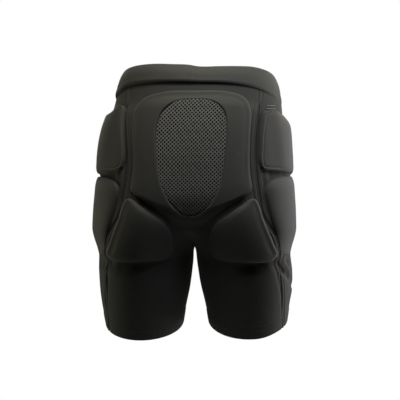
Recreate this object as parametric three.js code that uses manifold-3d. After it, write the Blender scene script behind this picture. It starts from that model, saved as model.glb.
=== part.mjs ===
// Padded protective shorts in the form they take when worn.
// Millimetres, +Z up. The origin is the centre of the waist opening at the band's upper edge.
// The back of the shorts faces -Y, and the wearer's right leg is on the +X side.
import * as THREE from 'three';
import * as BufferGeometryUtils from 'three/addons/utils/BufferGeometryUtils.js';
import Module from 'manifold-3d';

const wasm = await Module();
wasm.setup();

// Driving sizes of the cloth body
const waistWidth = 292; // side to side at the band's seam
const waistDepth = 210; // front to back at the band's seam
const hipWidth = 344; // widest, without the hip pads
const seatDepth = 132; // from the side line back to the fullest part of the seat
const bellyDepth = 118; // from the side line forward to the fullest part of the front
const rise = 320; // from the waist's upper edge down to the crotch
const legLength = 120; // from the crotch down to the hem, at the side
const hemWidth = 138; // one leg opening, side to side
const hemDepth = 152; // one leg opening, front to back
const legSpread = 187; // between the centres of the two leg openings
const clothWall = 2;
const sideSeamHip = 114; // from the centre plane to the side panel's seam beside the tailbone pad
const sideSeamThigh = 147; // the same, from the crotch down
const waistTilt = 3; // degrees, the waist is lower at the front
const hemTilt = 17; // degrees, the hems are lower at the back

// Driving sizes of the band
const bandHeight = 30;
const bandWall = 3;
const bandProud = 1; // how far the band stands out from the body at its seam
const bandLean = 10; // how far the band's upper edge leans in

// Clearances
const seamGap = 0.3; // between sewn pieces that butt against each other
const padGap = 0.4; // between a pad and the cloth it is sewn to, measured level
const padSeam = 3; // the sewn line between two pads' edges

// Driving sizes of the pads. top is measured down from the waist, inner and back are where
// the pad starts: from the centre plane, or back from the side line along the cloth.
// edge is the thickness at the sewn edge, shoulder the width of its rounded rise. Below
// thinFrom, a share of the height, the rise above the edge falls to the share thinTo.
// recess is how far the mesh lies below the pad's face, edgeRoll how far its edge rolls over.
const tailbonePad = {
  width: 206, height: 223, top: 47, thickness: 10, edge: 4, shoulder: 11, thinFrom: 0.72, thinTo: 0.45,
};
const meshPanel = {
  width: 116, height: 192, top: 62, recess: 1.6, edgeRoll: 1, shoulder: 3, thinFrom: 1, thinTo: 1,
};
const buttockPad = {
  width: 114, height: 108, top: 220, inner: 30, thickness: 14, edge: 5, shoulder: 16, thinFrom: 1, thinTo: 1,
};
const upperHipPad = {
  width: 150, height: 111, top: 67, back: 106, thickness: 11.5, edge: 6, shoulder: 13, thinFrom: 1, thinTo: 1,
};
const lowerHipPad = {
  width: 152, height: 132, back: 112, thickness: 11.5, edge: 6, shoulder: 15, thinFrom: 0.55, thinTo: 0.1,
};
lowerHipPad.top = upperHipPad.top + upperHipPad.height + padSeam;

const padSink = 4; // how far a pad's block dips into the body before it is cut to the cloth
const padCrown = 0.12; // extra height of a pad's middle, as a share of its shoulder's rise
const bridging = 14; // how far from the centre plane a back pad starts to span the hollow
const cutPast = 20; // how far a cutting form runs past the edge that it cuts
const facingStep = 2; // distance over which the way that the cloth faces is measured
const widestShare = 0.995; // a back pad stays this share of the way to the side

// Fineness of the facets
const bodySides = 36;
const bodyRows = 17;
const bandSides = 44;
const outlineSides = 28;

const degree = Math.PI / 180;
const hipHalf = hipWidth / 2;
const spreadHalf = legSpread / 2;
const waistSide = waistWidth / 2 / hipHalf;
const waistBack = waistDepth / 2 / seatDepth;
const waistFront = waistDepth / 2 / bellyDepth;
const hemOuter = (spreadHalf + hemWidth / 2) / hipHalf;
const hemInner = (spreadHalf - hemWidth / 2) / hipHalf;
const hemBack = hemDepth / 2 / seatDepth;
const hemFront = hemDepth / 2 / bellyDepth;

// Sections of the right half, a tube that is the whole torso at the waist and one leg at the hem.
// level: 0 to 1 is a share of the rise, 1 to 2 goes on down the leg as a share of its length.
// middle: the tube's centre, as a share of half the leg spread.
// outer, inner: its two sides from the centre plane, as shares of half the hip width.
// back, front: as shares of the seat depth and the belly depth.
// tilt: share of the waist's tilt where negative, of the hems' tilt where positive.
// square: how full the corners are, 2 is an ellipse.
const sectionColumns = ['level', 'middle', 'outer', 'inner', 'back', 'front', 'tilt', 'square'];
const sectionTable = [
  [0.0, 0.0, waistSide, -waistSide, waistBack, waistFront, -1, 2.15],
  [0.094, 0.0, waistSide, -waistSide, waistBack, waistFront, -1, 2.15],
  [0.19, 0.0, 0.877, -0.877, 0.845, 0.92, -0.8, 2.17],
  [0.32, 0.0, 0.932, -0.932, 0.915, 0.965, -0.45, 2.2],
  [0.5, 0.03, 0.965, -0.95, 0.98, 1.0, 0.0, 2.25],
  [0.68, 0.3, 0.982, -0.68, 1.0, 0.99, 0.0, 2.25],
  [0.82, 0.62, 0.995, -0.32, 0.985, 0.96, 0.0, 2.2],
  [0.93, 0.84, 1.0, -0.09, 0.93, 0.91, 0.0, 2.15],
  [1.0, 0.925, 1.002, 0.0, 0.875, 0.865, 0.0, 2.1],
  [1.17, 0.95, 1.003, 0.026, 0.82, 0.82, 0.08, 2.05],
  [1.45, 0.978, 0.998, 0.063, 0.735, 0.77, 0.35, 2.0],
  [1.82, 0.995, 0.966, 0.12, 0.62, 0.69, 0.85, 2.0],
  [2.0, 1.0, hemOuter, hemInner, hemBack, hemFront, 1.0, 2.0],
];

const bodyTop = bandHeight + seamGap;
const hemDown = rise + legLength;

function levelToDown(level) {
  return level <= 1 ? level * rise : rise + (level - 1) * legLength;
}

const sectionCurve = new THREE.CubicInterpolant(
  sectionTable.map((row) => levelToDown(row[0])),
  sectionTable.flatMap((row) => row.slice(1)),
  sectionColumns.length - 1,
);

// The section at a depth below the waist, in millimetres
function sectionAt(down) {
  const values = sectionCurve.evaluate(THREE.MathUtils.clamp(down, 0, hemDown));
  const [middle, outer, inner, back, front, tilt, square] = values;
  const slope = tilt < 0 ? Math.tan(waistTilt * degree) * tilt : Math.tan(hemTilt * degree) * tilt;
  return {
    down,
    middle: middle * spreadHalf,
    outer: outer * hipHalf,
    inner: inner * hipHalf,
    back: back * seatDepth,
    front: front * bellyDepth,
    slope,
    square,
  };
}

// A point of the section. angle runs from the outer side (0) over the back (90 degrees),
// the inner side (180) and the front (270); grow moves it out from the cloth's face.
function ringPoint(section, angle, grow) {
  const power = 2 / section.square;
  const cosine = Math.cos(angle);
  const sine = Math.sin(angle);
  const width = cosine > 0 ? section.outer - section.middle : section.middle - section.inner;
  const depth = sine > 0 ? section.back : section.front;
  const x = section.middle + Math.sign(cosine) * (width + grow) * Math.abs(cosine) ** power;
  const y = -Math.sign(sine) * (depth + grow) * Math.abs(sine) ** power;
  return new THREE.Vector3(x, y, y * section.slope - section.down);
}

function ring(section, sides, grow) {
  const points = [];
  for (let i = 0; i < sides; i += 1) {
    points.push(ringPoint(section, (i / sides) * 2 * Math.PI, grow));
  }
  return points;
}

function middleOf(points) {
  const middle = new THREE.Vector3();
  points.forEach((point) => middle.addScaledVector(point, 1 / points.length));
  return middle;
}

// A closed solid through rings of points. Each end is capped by a fan round its tip.
function loft(rings, firstTip, lastTip) {
  const sides = rings[0].length;
  const points = rings.flat();
  const faces = [];
  for (let row = 0; row < rings.length - 1; row += 1) {
    for (let i = 0; i < sides; i += 1) {
      const a = row * sides + i;
      const b = row * sides + ((i + 1) % sides);
      faces.push(a, b, a + sides, b, b + sides, a + sides);
    }
  }
  const lastRing = (rings.length - 1) * sides;
  points.push(firstTip ?? middleOf(rings[0]), lastTip ?? middleOf(rings.at(-1)));
  for (let i = 0; i < sides; i += 1) {
    const next = (i + 1) % sides;
    faces.push(points.length - 2, next, i);
    faces.push(points.length - 1, lastRing + i, lastRing + next);
  }
  return solidFrom(points, faces);
}

// A solid from points and triangles, turned so that its faces point out
function solidFrom(points, faces) {
  let volume = 0;
  for (let i = 0; i < faces.length; i += 3) {
    const [a, b, c] = [points[faces[i]], points[faces[i + 1]], points[faces[i + 2]]];
    volume += a.dot(b.clone().cross(c));
  }
  const triVerts = Uint32Array.from(volume < 0 ? faces.toReversed() : faces);
  const vertProperties = Float32Array.from(points.flatMap((point) => point.toArray()));
  return new wasm.Manifold(new wasm.Mesh({ numProp: 3, vertProperties, triVerts }));
}

function pointsOf(solid) {
  const { vertProperties, triVerts } = solid.getMesh();
  const points = [];
  for (let i = 0; i < vertProperties.length; i += 3) {
    points.push(new THREE.Vector3().fromArray(vertProperties, i));
  }
  return { points, faces: Array.from(triVerts) };
}

// The same solid on the other side of the centre plane
function mirrored(solid) {
  const { points, faces } = pointsOf(solid);
  points.forEach((point) => point.setX(-point.x));
  return solidFrom(points, faces);
}

// The same solid with the points that lie on the centre plane put exactly on it
function flattened(solid) {
  const { points, faces } = pointsOf(solid);
  points.forEach((point) => point.setX(Math.abs(point.x) < 1e-3 ? 0 : point.x));
  return solidFrom(points, faces);
}

// A solid that a box geometry gives
function boxSolid(low, high) {
  const size = high.clone().sub(low);
  const geometry = new THREE.BoxGeometry(size.x, size.y, size.z);
  geometry.translate(low.x + size.x / 2, low.y + size.y / 2, low.z + size.z / 2);
  return geometrySolid(geometry);
}

// A solid from one of the closed geometry classes
function geometrySolid(geometry) {
  geometry.deleteAttribute('normal');
  geometry.deleteAttribute('uv');
  const merged = BufferGeometryUtils.mergeVertices(geometry, 1e-3);
  const points = [];
  for (let i = 0; i < merged.attributes.position.count; i += 1) {
    points.push(new THREE.Vector3().fromBufferAttribute(merged.attributes.position, i));
  }
  return solidFrom(points, Array.from(merged.index.array));
}

// The filled form of the body: two tubes that are one above the crotch. Each half ends on
// the centre plane, where its mirror image meets it. grow moves its face out from the
// cloth's, and past carries both ends straight on beyond the edges of the cloth.
function filledBody(grow, past) {
  const rings = [];
  for (let row = 0; row < bodyRows; row += 1) {
    const down = THREE.MathUtils.lerp(bodyTop, hemDown, row / (bodyRows - 1));
    rings.push(ring(sectionAt(down), bodySides, grow));
  }
  const carry = past / ((hemDown - bodyTop) / (bodyRows - 1));
  const carriedOn = (edge, before) => edge.map((point, i) => point.clone().lerp(before[i], -carry));
  const [top, bottom] = [carriedOn(rings[0], rings[1]), carriedOn(rings.at(-1), rings.at(-2))];
  rings.splice(0, 1, top);
  rings.splice(-1, 1, bottom);
  const reach = hipWidth + hemDown;
  const half = boxSolid(new THREE.Vector3(0, -reach, -reach), new THREE.Vector3(reach, reach, reach));
  const rightHalf = flattened(loft(rings).intersect(half));
  return rightHalf.add(mirrored(rightHalf));
}

// The whole cloth shell, before it is cut along its seams
function clothShell() {
  return filledBody(0, 0).subtract(filledBody(-clothWall, cutPast));
}

// Everything on the outer side of the side panel's two seams, front and back. The seam runs
// straight down beside the tailbone pad, swings out round the buttock pad and goes on down.
const seamTurns = [
  { level: -0.3, swing: 0 },
  { level: 0.6, swing: 0 },
  { level: 0.76, swing: 0.5 },
  { level: 0.92, swing: 1 },
  { level: 2.5, swing: 1 },
];

function besideSeam(shift) {
  const reach = hipWidth;
  const outline = new THREE.Shape();
  seamTurns.forEach(({ level, swing }, i) => {
    const across = THREE.MathUtils.lerp(sideSeamHip, sideSeamThigh, swing) + shift;
    const height = -levelToDown(level);
    if (i === 0) outline.moveTo(across, height);
    else outline.lineTo(across, height);
  });
  outline.lineTo(reach, -levelToDown(seamTurns.at(-1).level));
  outline.lineTo(reach, -levelToDown(seamTurns[0].level));
  const geometry = new THREE.ExtrudeGeometry(outline, { depth: 2 * reach, bevelEnabled: false });
  geometry.rotateX(90 * degree);
  geometry.translate(0, reach, 0);
  return geometrySolid(geometry);
}

function slab(yLow, yHigh) {
  const reach = hipWidth + hemDown;
  return boxSolid(new THREE.Vector3(-reach, yLow, -reach), new THREE.Vector3(reach, yHigh, reach));
}

// The four sewn panels of the body: both sides, the back and the front, which meet at the
// inside leg seams and under the crotch
function bodyPanels() {
  const shell = clothShell();
  const rightSide = shell.intersect(besideSeam(seamGap / 2));
  const cutAway = besideSeam(-seamGap / 2);
  const middle = shell.subtract(cutAway).subtract(mirrored(cutAway));
  const reach = hipWidth;
  return {
    back_panel: middle.intersect(slab(-reach, -seamGap / 2)),
    front_panel: middle.intersect(slab(seamGap / 2, reach)),
    side_panel_right: rightSide,
    side_panel_left: mirrored(rightSide),
  };
}

// The band: a closed profile carried round the waist.
// down: share of the band's height. out: share of its wall, from the inner face.
function waistband() {
  const profile = [
    { down: 0.0, out: 0.15 },
    { down: 0.0, out: 0.75 },
    { down: 0.06, out: 1.0 },
    { down: 0.4, out: 1.0 },
    { down: 0.8, out: 1.0 },
    { down: 0.97, out: 0.9 },
    { down: 1.0, out: 0.6 },
    { down: 1.0, out: 0.0 },
    { down: 0.5, out: 0.0 },
    { down: 0.06, out: 0.0 },
  ];
  const points = [];
  const faces = [];
  for (const { down, out } of profile) {
    const lean = -bandLean * (1 - down) ** 1.6;
    const grow = bandProud + lean - bandWall * (1 - out);
    points.push(...ring(sectionAt(down * bandHeight), bandSides, grow));
  }
  for (let row = 0; row < profile.length; row += 1) {
    for (let i = 0; i < bandSides; i += 1) {
      const next = (i + 1) % bandSides;
      const below = ((row + 1) % profile.length) * bandSides;
      const [a, b, c, d] = [row * bandSides + i, row * bandSides + next, below + i, below + next];
      faces.push(a, b, c, b, d, c);
    }
  }
  return solidFrom(points, faces);
}

// Places a pad on the back of the body. across is measured level from the centre plane,
// and the hollow between the two halves is bridged softly.
function onBack(across, down) {
  const section = sectionAt(down);
  const reach = Math.hypot(across, bridging);
  const offset = reach - section.middle;
  const width = offset > 0 ? section.outer - section.middle : section.middle - section.inner;
  const share = Math.min(Math.abs(offset) / width, widestShare);
  const y = -section.back * (1 - share ** section.square) ** (1 / section.square);
  return new THREE.Vector3(across, y, y * section.slope - down);
}

// Places a pad round the side. around is measured along the cloth from the side line,
// and is positive towards the back.
function onSide(around, down) {
  const section = sectionAt(down);
  const step = 2 * degree * Math.sign(around || 1);
  let last = ringPoint(section, 0, 0);
  let length = 0;
  for (let angle = step; Math.abs(angle) < Math.PI; angle += step) {
    const next = ringPoint(section, angle, 0);
    const stretch = next.distanceTo(last);
    if (length + stretch >= Math.abs(around)) {
      return last.lerp(next, (Math.abs(around) - length) / stretch);
    }
    length += stretch;
    last = next;
  }
  return last;
}

// The point a distance above the cloth, along the way the cloth faces
function lifted(place, u, down, lift) {
  const step = facingStep;
  const point = place(u, down);
  const along = place(u + step, down).sub(place(u - step, down));
  const below = place(u, down + step).sub(place(u, down - step));
  const facing = along.cross(below).normalize();
  const outward = Math.sign(facing.dot(new THREE.Vector3(point.x - spreadHalf / 2, point.y, 0))) || 1;
  return point.addScaledVector(facing, outward * lift);
}

// A smooth closed outline, evenly divided, through hand-placed corners
function outlineOf(corners) {
  const path = new THREE.CatmullRomCurve3(
    corners.map(([u, down]) => new THREE.Vector3(u, down, 0)),
    true,
    'centripetal',
  );
  return path.getSpacedPoints(outlineSides).slice(0, outlineSides);
}

// A pad's block: an upright sewn edge, a rounded shoulder and a slightly crowned face
function padBlock(pad, outline, place, { sink = padSink, trim = 0 } = {}) {
  const shoulderSteps = 3;
  const centre = middleOf(outline);
  const rows = [{ inset: trim, share: 0, raise: 0 }];
  for (let step = 1; step <= shoulderSteps; step += 1) {
    const turn = (step / shoulderSteps) * 90 * degree;
    rows.push({ inset: trim + pad.shoulder * (1 - Math.cos(turn)), share: 0, raise: Math.sin(turn) });
  }
  rows.push({ inset: trim + pad.shoulder, share: 0.4, raise: 1 + padCrown * 0.8 });
  rows.push({ inset: trim + pad.shoulder, share: 0.75, raise: 1 + padCrown });
  const heightOf = (point, raise) => {
    const share = (point.y - pad.top) / pad.height;
    const thin = THREE.MathUtils.lerp(1, pad.thinTo, THREE.MathUtils.smoothstep(share, pad.thinFrom, 1));
    return pad.edge + (pad.thickness - pad.edge) * raise * thin;
  };
  const rowAt = ({ inset, share, raise }, sunk) => outline.map((edgePoint) => {
    const inward = centre.clone().sub(edgePoint);
    const distance = inset + share * (inward.length() - inset);
    const point = edgePoint.clone().addScaledVector(inward.normalize(), distance);
    return lifted(place, point.x, point.y, sunk ? -sink : heightOf(point, raise));
  });
  const rings = [rowAt(rows[0], true), ...rows.map((row) => rowAt(row, false))];
  const top = lifted(place, centre.x, centre.y, heightOf(centre, 1 + padCrown));
  return loft(rings, lifted(place, centre.x, centre.y, -sink), top);
}

// Corners of an outline that is the same on both sides, from its right half, top to bottom
function bothSides(half) {
  const left = half.filter(([share]) => share > 0).map(([share, down]) => [-share, down]);
  return [...half, ...left.toReversed()];
}

// Corners in millimetres, from shares of a pad's width, from its start, and of its height
function cornersOf(pad, start, width, table) {
  return table.map(([share, down]) => [start + share * width, pad.top + down * pad.height]);
}

// The outline of the tailbone pad: straight sides, and a lower end that narrows between
// the buttock pads. Columns: share of half the width, share of the height.
const tailboneTable = bothSides([
  [0.0, 0.0],
  [0.6, 0.0],
  [0.84, 0.035],
  [0.94, 0.13],
  [0.955, 0.3],
  [0.96, 0.6],
  [1.0, 0.72],
  [0.95, 0.775],
  [0.48, 0.915],
  [0.28, 0.985],
  [0.0, 1.0],
]);

// The mesh window: an egg with its narrow end down. The same columns.
const windowTable = bothSides([
  [0.0, 0.0],
  [0.55, 0.02],
  [0.9, 0.12],
  [1.0, 0.27],
  [0.97, 0.5],
  [0.82, 0.75],
  [0.45, 0.94],
  [0.0, 1.0],
]);

// The buttock pad: five sides with its point up and out. Share of the width from the
// inner edge, share of the height.
const buttockTable = [
  [0.61, 0.025],
  [0.42, 0.19],
  [0.22, 0.34],
  [0.05, 0.49],
  [0.0, 0.62],
  [0.02, 0.86],
  [0.12, 0.98],
  [0.5, 1.0],
  [0.9, 0.99],
  [1.0, 0.9],
  [0.95, 0.68],
  [0.8, 0.36],
  [0.68, 0.07],
];

// The hip pads. Share of the width from the front edge, share of the height.
const upperHipTable = [
  [0.1, 0.12],
  [0.3, 0.03],
  [0.55, 0.0],
  [0.83, 0.03],
  [0.91, 0.13],
  [0.965, 0.5],
  [1.0, 0.9],
  [0.95, 0.985],
  [0.5, 1.0],
  [0.07, 0.985],
  [0.0, 0.9],
  [0.02, 0.35],
];
const lowerHipTable = [
  [0.06, 0.02],
  [0.5, 0.0],
  [0.94, 0.015],
  [1.0, 0.1],
  [0.97, 0.4],
  [0.86, 0.8],
  [0.74, 0.97],
  [0.45, 1.0],
  [0.2, 0.93],
  [0.06, 0.65],
  [0.0, 0.1],
];

const bodyWithGap = filledBody(padGap, cutPast);

const outlines = {
  tailbone: outlineOf(cornersOf(tailbonePad, 0, tailbonePad.width / 2, tailboneTable)),
  window: outlineOf(cornersOf(meshPanel, 0, meshPanel.width / 2, windowTable)),
  buttock: outlineOf(cornersOf(buttockPad, buttockPad.inner, buttockPad.width, buttockTable)),
};

// A tall form over a pad's outline, to cut its neighbours back to the sewn line between them
function clearanceOver(pad, outline) {
  const height = pad.thickness + cutPast;
  const tall = { ...pad, thickness: height, edge: height - seamGap, shoulder: seamGap };
  return padBlock(tall, outline, onBack, { sink: 3 * padSink, trim: -padSeam });
}

// The straight part of the window's wall, the same for the opening and for the panel in it
const meshThickness = tailbonePad.thickness - meshPanel.recess;
const windowWall = { ...meshPanel, edge: meshThickness - meshPanel.edgeRoll };
const windowSink = 3 * padSink;

function makeTailbonePad() {
  const block = padBlock(tailbonePad, outlines.tailbone, onBack);
  const cutter = { ...windowWall, thickness: tailbonePad.thickness + cutPast, shoulder: seamGap };
  const window = padBlock(cutter, outlines.window, onBack, { sink: windowSink });
  return block.subtract(window).subtract(bodyWithGap);
}

function makeTailboneMesh() {
  const panel = { ...windowWall, thickness: meshThickness };
  const block = padBlock(panel, outlines.window, onBack, { sink: windowSink, trim: 2 * seamGap });
  return block.subtract(bodyWithGap);
}

const tailboneClearance = clearanceOver(tailbonePad, outlines.tailbone);
const buttockClearance = clearanceOver(buttockPad, outlines.buttock);

function makeButtockPad() {
  const block = padBlock(buttockPad, outlines.buttock, onBack);
  return block.subtract(tailboneClearance).subtract(bodyWithGap);
}

function makeHipPad(pad, table) {
  const outline = outlineOf(cornersOf(pad, pad.back - pad.width, pad.width, table));
  const block = padBlock(pad, outline, onSide);
  return block.subtract(tailboneClearance).subtract(buttockClearance).subtract(bodyWithGap);
}

// Colours and finish of each kind of cloth
const finishes = {
  cloth: { color: 0x1b1b1a, roughness: 0.85, metalness: 0 },
  band: { color: 0x2a2a29, roughness: 0.8, metalness: 0 },
  padCover: { color: 0x20201f, roughness: 0.8, metalness: 0 },
  mesh: { color: 0x2c2c2b, roughness: 0.9, metalness: 0 },
};

function meshOf(name, solid, finish) {
  const { points, faces } = pointsOf(solid);
  const geometry = new THREE.BufferGeometry().setFromPoints(points);
  geometry.setIndex(faces);
  geometry.computeVertexNormals();
  const mesh = new THREE.Mesh(geometry, new THREE.MeshStandardMaterial(finish));
  mesh.name = name;
  return mesh;
}

const shorts = new THREE.Group();
for (const [name, panel] of Object.entries(bodyPanels())) {
  shorts.add(meshOf(name, panel, finishes.cloth));
}
shorts.add(meshOf('waistband', waistband(), finishes.band));
shorts.add(meshOf('tailbone_pad', makeTailbonePad(), finishes.padCover));
shorts.add(meshOf('tailbone_mesh', makeTailboneMesh(), finishes.mesh));
const pairs = {
  buttock_pad: makeButtockPad(),
  upper_hip_pad: makeHipPad(upperHipPad, upperHipTable),
  lower_hip_pad: makeHipPad(lowerHipPad, lowerHipTable),
};
for (const [name, solid] of Object.entries(pairs)) {
  shorts.add(meshOf(`${name}_right`, solid, finishes.padCover));
  shorts.add(meshOf(`${name}_left`, mirrored(solid), finishes.padCover));
}

export default shorts;
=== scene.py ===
# %% [markdown]
# # Padded protective shorts, seen from behind
# These are black stretch shorts with foam pads sewn on the outside: one large pad over the
# tailbone with a mesh window in it, two pads under it and two on each hip. They are shown in
# worn form, so the cloth is pulled tight and has only a few folds. The lesson builds them piece
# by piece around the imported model, which gives every place and size.
#
# Nearly everything here is black cloth, so the shapes read only by their edges and by soft light
# that grazes them. That decides the method: real relief on the meshes, light from above and from
# the sides, and hardly any from the front.

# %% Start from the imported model
import math

import bmesh
import bpy
import numpy as np
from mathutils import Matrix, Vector


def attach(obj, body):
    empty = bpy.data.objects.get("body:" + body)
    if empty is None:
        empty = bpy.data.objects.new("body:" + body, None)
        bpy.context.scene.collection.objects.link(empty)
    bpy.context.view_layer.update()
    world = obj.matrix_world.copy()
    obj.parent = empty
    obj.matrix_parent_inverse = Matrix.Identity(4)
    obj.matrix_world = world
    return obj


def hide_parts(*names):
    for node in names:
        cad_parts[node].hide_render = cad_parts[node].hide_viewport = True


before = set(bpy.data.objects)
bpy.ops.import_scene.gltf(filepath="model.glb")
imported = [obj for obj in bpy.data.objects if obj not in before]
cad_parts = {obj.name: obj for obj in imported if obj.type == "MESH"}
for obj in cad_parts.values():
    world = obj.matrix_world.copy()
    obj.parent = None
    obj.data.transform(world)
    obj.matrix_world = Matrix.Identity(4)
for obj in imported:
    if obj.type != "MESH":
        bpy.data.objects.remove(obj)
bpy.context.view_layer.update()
MM = 0.001
print("nodes:", ", ".join(sorted(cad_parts)))

# %% [markdown]
# ## The shape that everything lies on
# On the body, the cloth is a tube round the hips that splits into two legs. It could be modelled
# by pushing points about, but pads, seams and stitches all have to lie exactly on it. So it is a
# formula: a table of cross-sections, one row per height, joined by smooth curves. Each section
# is a slightly squared ellipse, and above the crotch the two legs' sections run into each other.

# %% Sizes and sections of the body
HIP_HALF, SPREAD_HALF = 172 * MM, 93.5 * MM
SEAT_DEPTH, BELLY_DEPTH = 132 * MM, 118 * MM
RISE, LEG_LENGTH = 320 * MM, 120 * MM
HEM_DOWN = RISE + LEG_LENGTH
WAIST_TILT, HEM_TILT = math.radians(3), math.radians(17)
WAIST_SIDE, WAIST_BACK, WAIST_FRONT = 146 / 172, 105 / 132, 105 / 118

SECTION_COLUMNS = ("middle", "outer", "inner", "back", "front", "tilt", "square")
SECTIONS = {  # level: 0 to 1 down the rise, 1 to 2 down the leg
    0.0: (0.0, WAIST_SIDE, -WAIST_SIDE, WAIST_BACK, WAIST_FRONT, -1, 2.15),
    0.094: (0.0, WAIST_SIDE, -WAIST_SIDE, WAIST_BACK, WAIST_FRONT, -1, 2.15),
    0.19: (0.0, 0.877, -0.877, 0.845, 0.92, -0.8, 2.17),
    0.32: (0.0, 0.932, -0.932, 0.915, 0.965, -0.45, 2.2),
    0.5: (0.03, 0.965, -0.95, 0.98, 1.0, 0.0, 2.25),
    0.68: (0.3, 0.982, -0.68, 1.0, 0.99, 0.0, 2.25),
    0.82: (0.62, 0.995, -0.32, 0.985, 0.96, 0.0, 2.2),
    0.93: (0.84, 1.0, -0.09, 0.93, 0.91, 0.0, 2.15),
    1.0: (0.925, 1.002, 0.0, 0.875, 0.865, 0.0, 2.1),
    1.17: (0.95, 1.003, 0.026, 0.82, 0.82, 0.08, 2.05),
    1.45: (0.978, 0.998, 0.063, 0.735, 0.77, 0.35, 2.0),
    1.82: (0.995, 0.966, 0.12, 0.62, 0.69, 0.85, 2.0),
    2.0: (1.0, 162.5 / 172, 24.5 / 172, 76 / 132, 76 / 118, 1.0, 2.0),
}


def level_to_down(level):
    """Metres below the waist for a level of the table."""
    return np.where(level <= 1, level * RISE, RISE + (level - 1) * LEG_LENGTH)


def curve_through(knots, values, x):
    """A smooth curve through the rows of a table, read at x."""
    slopes = np.gradient(values, knots)
    i = np.clip(np.searchsorted(knots, x, side="right") - 1, 0, len(knots) - 2)
    span = knots[i + 1] - knots[i]
    t = (x - knots[i]) / span
    return (
        (1 + 2 * t) * (1 - t) ** 2 * values[i]
        + t * (1 - t) ** 2 * span * slopes[i]
        + t * t * (3 - 2 * t) * values[i + 1]
        + t * t * (t - 1) * span * slopes[i + 1]
    )


KNOTS = level_to_down(np.array(list(SECTIONS)))
TABLE = np.array(list(SECTIONS.values()))


def section_at(down):
    """The cross-section at each depth below the waist, as a dict of arrays in metres."""
    depth = np.clip(down, 0, HEM_DOWN)
    s = {c: curve_through(KNOTS, TABLE[:, i], depth) for i, c in enumerate(SECTION_COLUMNS)}
    tilt = np.where(s["tilt"] < 0, math.tan(WAIST_TILT), math.tan(HEM_TILT))
    return {
        "middle": s["middle"] * SPREAD_HALF,
        "outer": s["outer"] * HIP_HALF,
        "inner": s["inner"] * HIP_HALF,
        "back": s["back"] * SEAT_DEPTH,
        "front": s["front"] * BELLY_DEPTH,
        "slope": s["tilt"] * tilt,
        "square": s["square"],
    }


def ring_point(down, angle, grow=0.0):
    """Points of the right tube: angle 0 is the outer side, 90 degrees the back, 180 the inside."""
    s = section_at(down)
    power = 2 / s["square"]
    cosine, sine = np.cos(angle), np.sin(angle)
    width = np.where(cosine > 0, s["outer"] - s["middle"], s["middle"] - s["inner"]) + grow
    depth = np.where(sine > 0, s["back"], s["front"]) + grow
    x = s["middle"] + np.sign(cosine) * width * np.abs(cosine) ** power
    y = -np.sign(sine) * depth * np.abs(sine) ** power
    return np.stack([x, y, y * s["slope"] - down], -1)


print("waist", ring_point(np.array(0.0), np.array(0.0)))
print("hem", ring_point(np.array(HEM_DOWN), np.array(0.0)))

# %% [markdown]
# ## Placing things along the cloth
# A pad is cut flat and then sewn on, so it is easiest to draw it flat. Two functions carry flat
# drawings onto the body. `on_side` measures along the cloth from the side line, as a tape
# measure would. `on_back` measures level from the centre, and spans the hollow in the middle.
# `raised` then lifts points off the cloth, along the way that the cloth faces.

# %% From flat drawing to body
BRIDGING = 14 * MM
LONGEST_REACH = 0.5  # metres of cloth that the table covers on both sides of the side line
RING_ANGLES = np.radians(np.linspace(-180, 180, 721))
SIDE = len(RING_ANGLES) // 2


def measured_rings(downs):
    """Rings of points at the depths, and how far along the cloth each point lies from the side line."""
    rings = ring_point(downs[:, None], RING_ANGLES[None])
    steps = np.linalg.norm(np.diff(rings, axis=1), axis=2)
    arcs = np.concatenate([np.zeros((len(downs), 1)), np.cumsum(steps, axis=1)], axis=1)
    return rings, arcs - arcs[:, SIDE:SIDE + 1]


DOWNS = np.linspace(0, HEM_DOWN, 221)
AROUNDS = np.linspace(-LONGEST_REACH, LONGEST_REACH, 1001)
ANGLE_TABLE = np.stack([np.interp(AROUNDS, arcs, RING_ANGLES) for arcs in measured_rings(DOWNS)[1]])


def angle_at(around, down):
    """The section angle that lies a length of cloth from the side line."""
    i = np.clip(np.asarray(down) / HEM_DOWN * (len(DOWNS) - 1), 0, len(DOWNS) - 1.001)
    j = (np.asarray(around) + LONGEST_REACH) / (2 * LONGEST_REACH) * (len(AROUNDS) - 1)
    j = np.clip(j, 0, len(AROUNDS) - 1.001)
    i0, j0 = i.astype(int), j.astype(int)
    a, b = i - i0, j - j0
    upper = ANGLE_TABLE[i0, j0] * (1 - b) + ANGLE_TABLE[i0, j0 + 1] * b
    lower = ANGLE_TABLE[i0 + 1, j0] * (1 - b) + ANGLE_TABLE[i0 + 1, j0 + 1] * b
    return upper * (1 - a) + lower * a


def on_side(around, down):
    """A place on the cloth, measured round from the side line; positive is to the back."""
    return ring_point(down, angle_at(around, down))


def on_back(across, down, bridging=BRIDGING):
    """A place on the back, measured level from the centre plane."""
    s = section_at(down)
    offset = np.hypot(across, bridging) - s["middle"]
    width = np.where(offset > 0, s["outer"] - s["middle"], s["middle"] - s["inner"])
    share = np.minimum(np.abs(offset) / width, 0.995)
    y = -s["back"] * (1 - share ** s["square"]) ** (1 / s["square"])
    return np.stack([across + 0 * y, y, y * s["slope"] - down], -1)


def facing(place, u, down, step=1.5 * MM):
    """The way the cloth faces, outwards."""
    along = place(u + step, down) - place(u - step, down)
    below = place(u, down + step) - place(u, down - step)
    normal = np.cross(along, below)
    if place is on_back:
        normal = -normal
    return normal / np.linalg.norm(normal, axis=-1, keepdims=True)


def raised(place, u, down, lift):
    """Points a distance above the cloth."""
    return place(u, down) + facing(place, u, down) * np.asarray(lift)[..., None]


print("a place on the seat:", on_back(np.array(0.05), np.array(0.15)))

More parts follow.
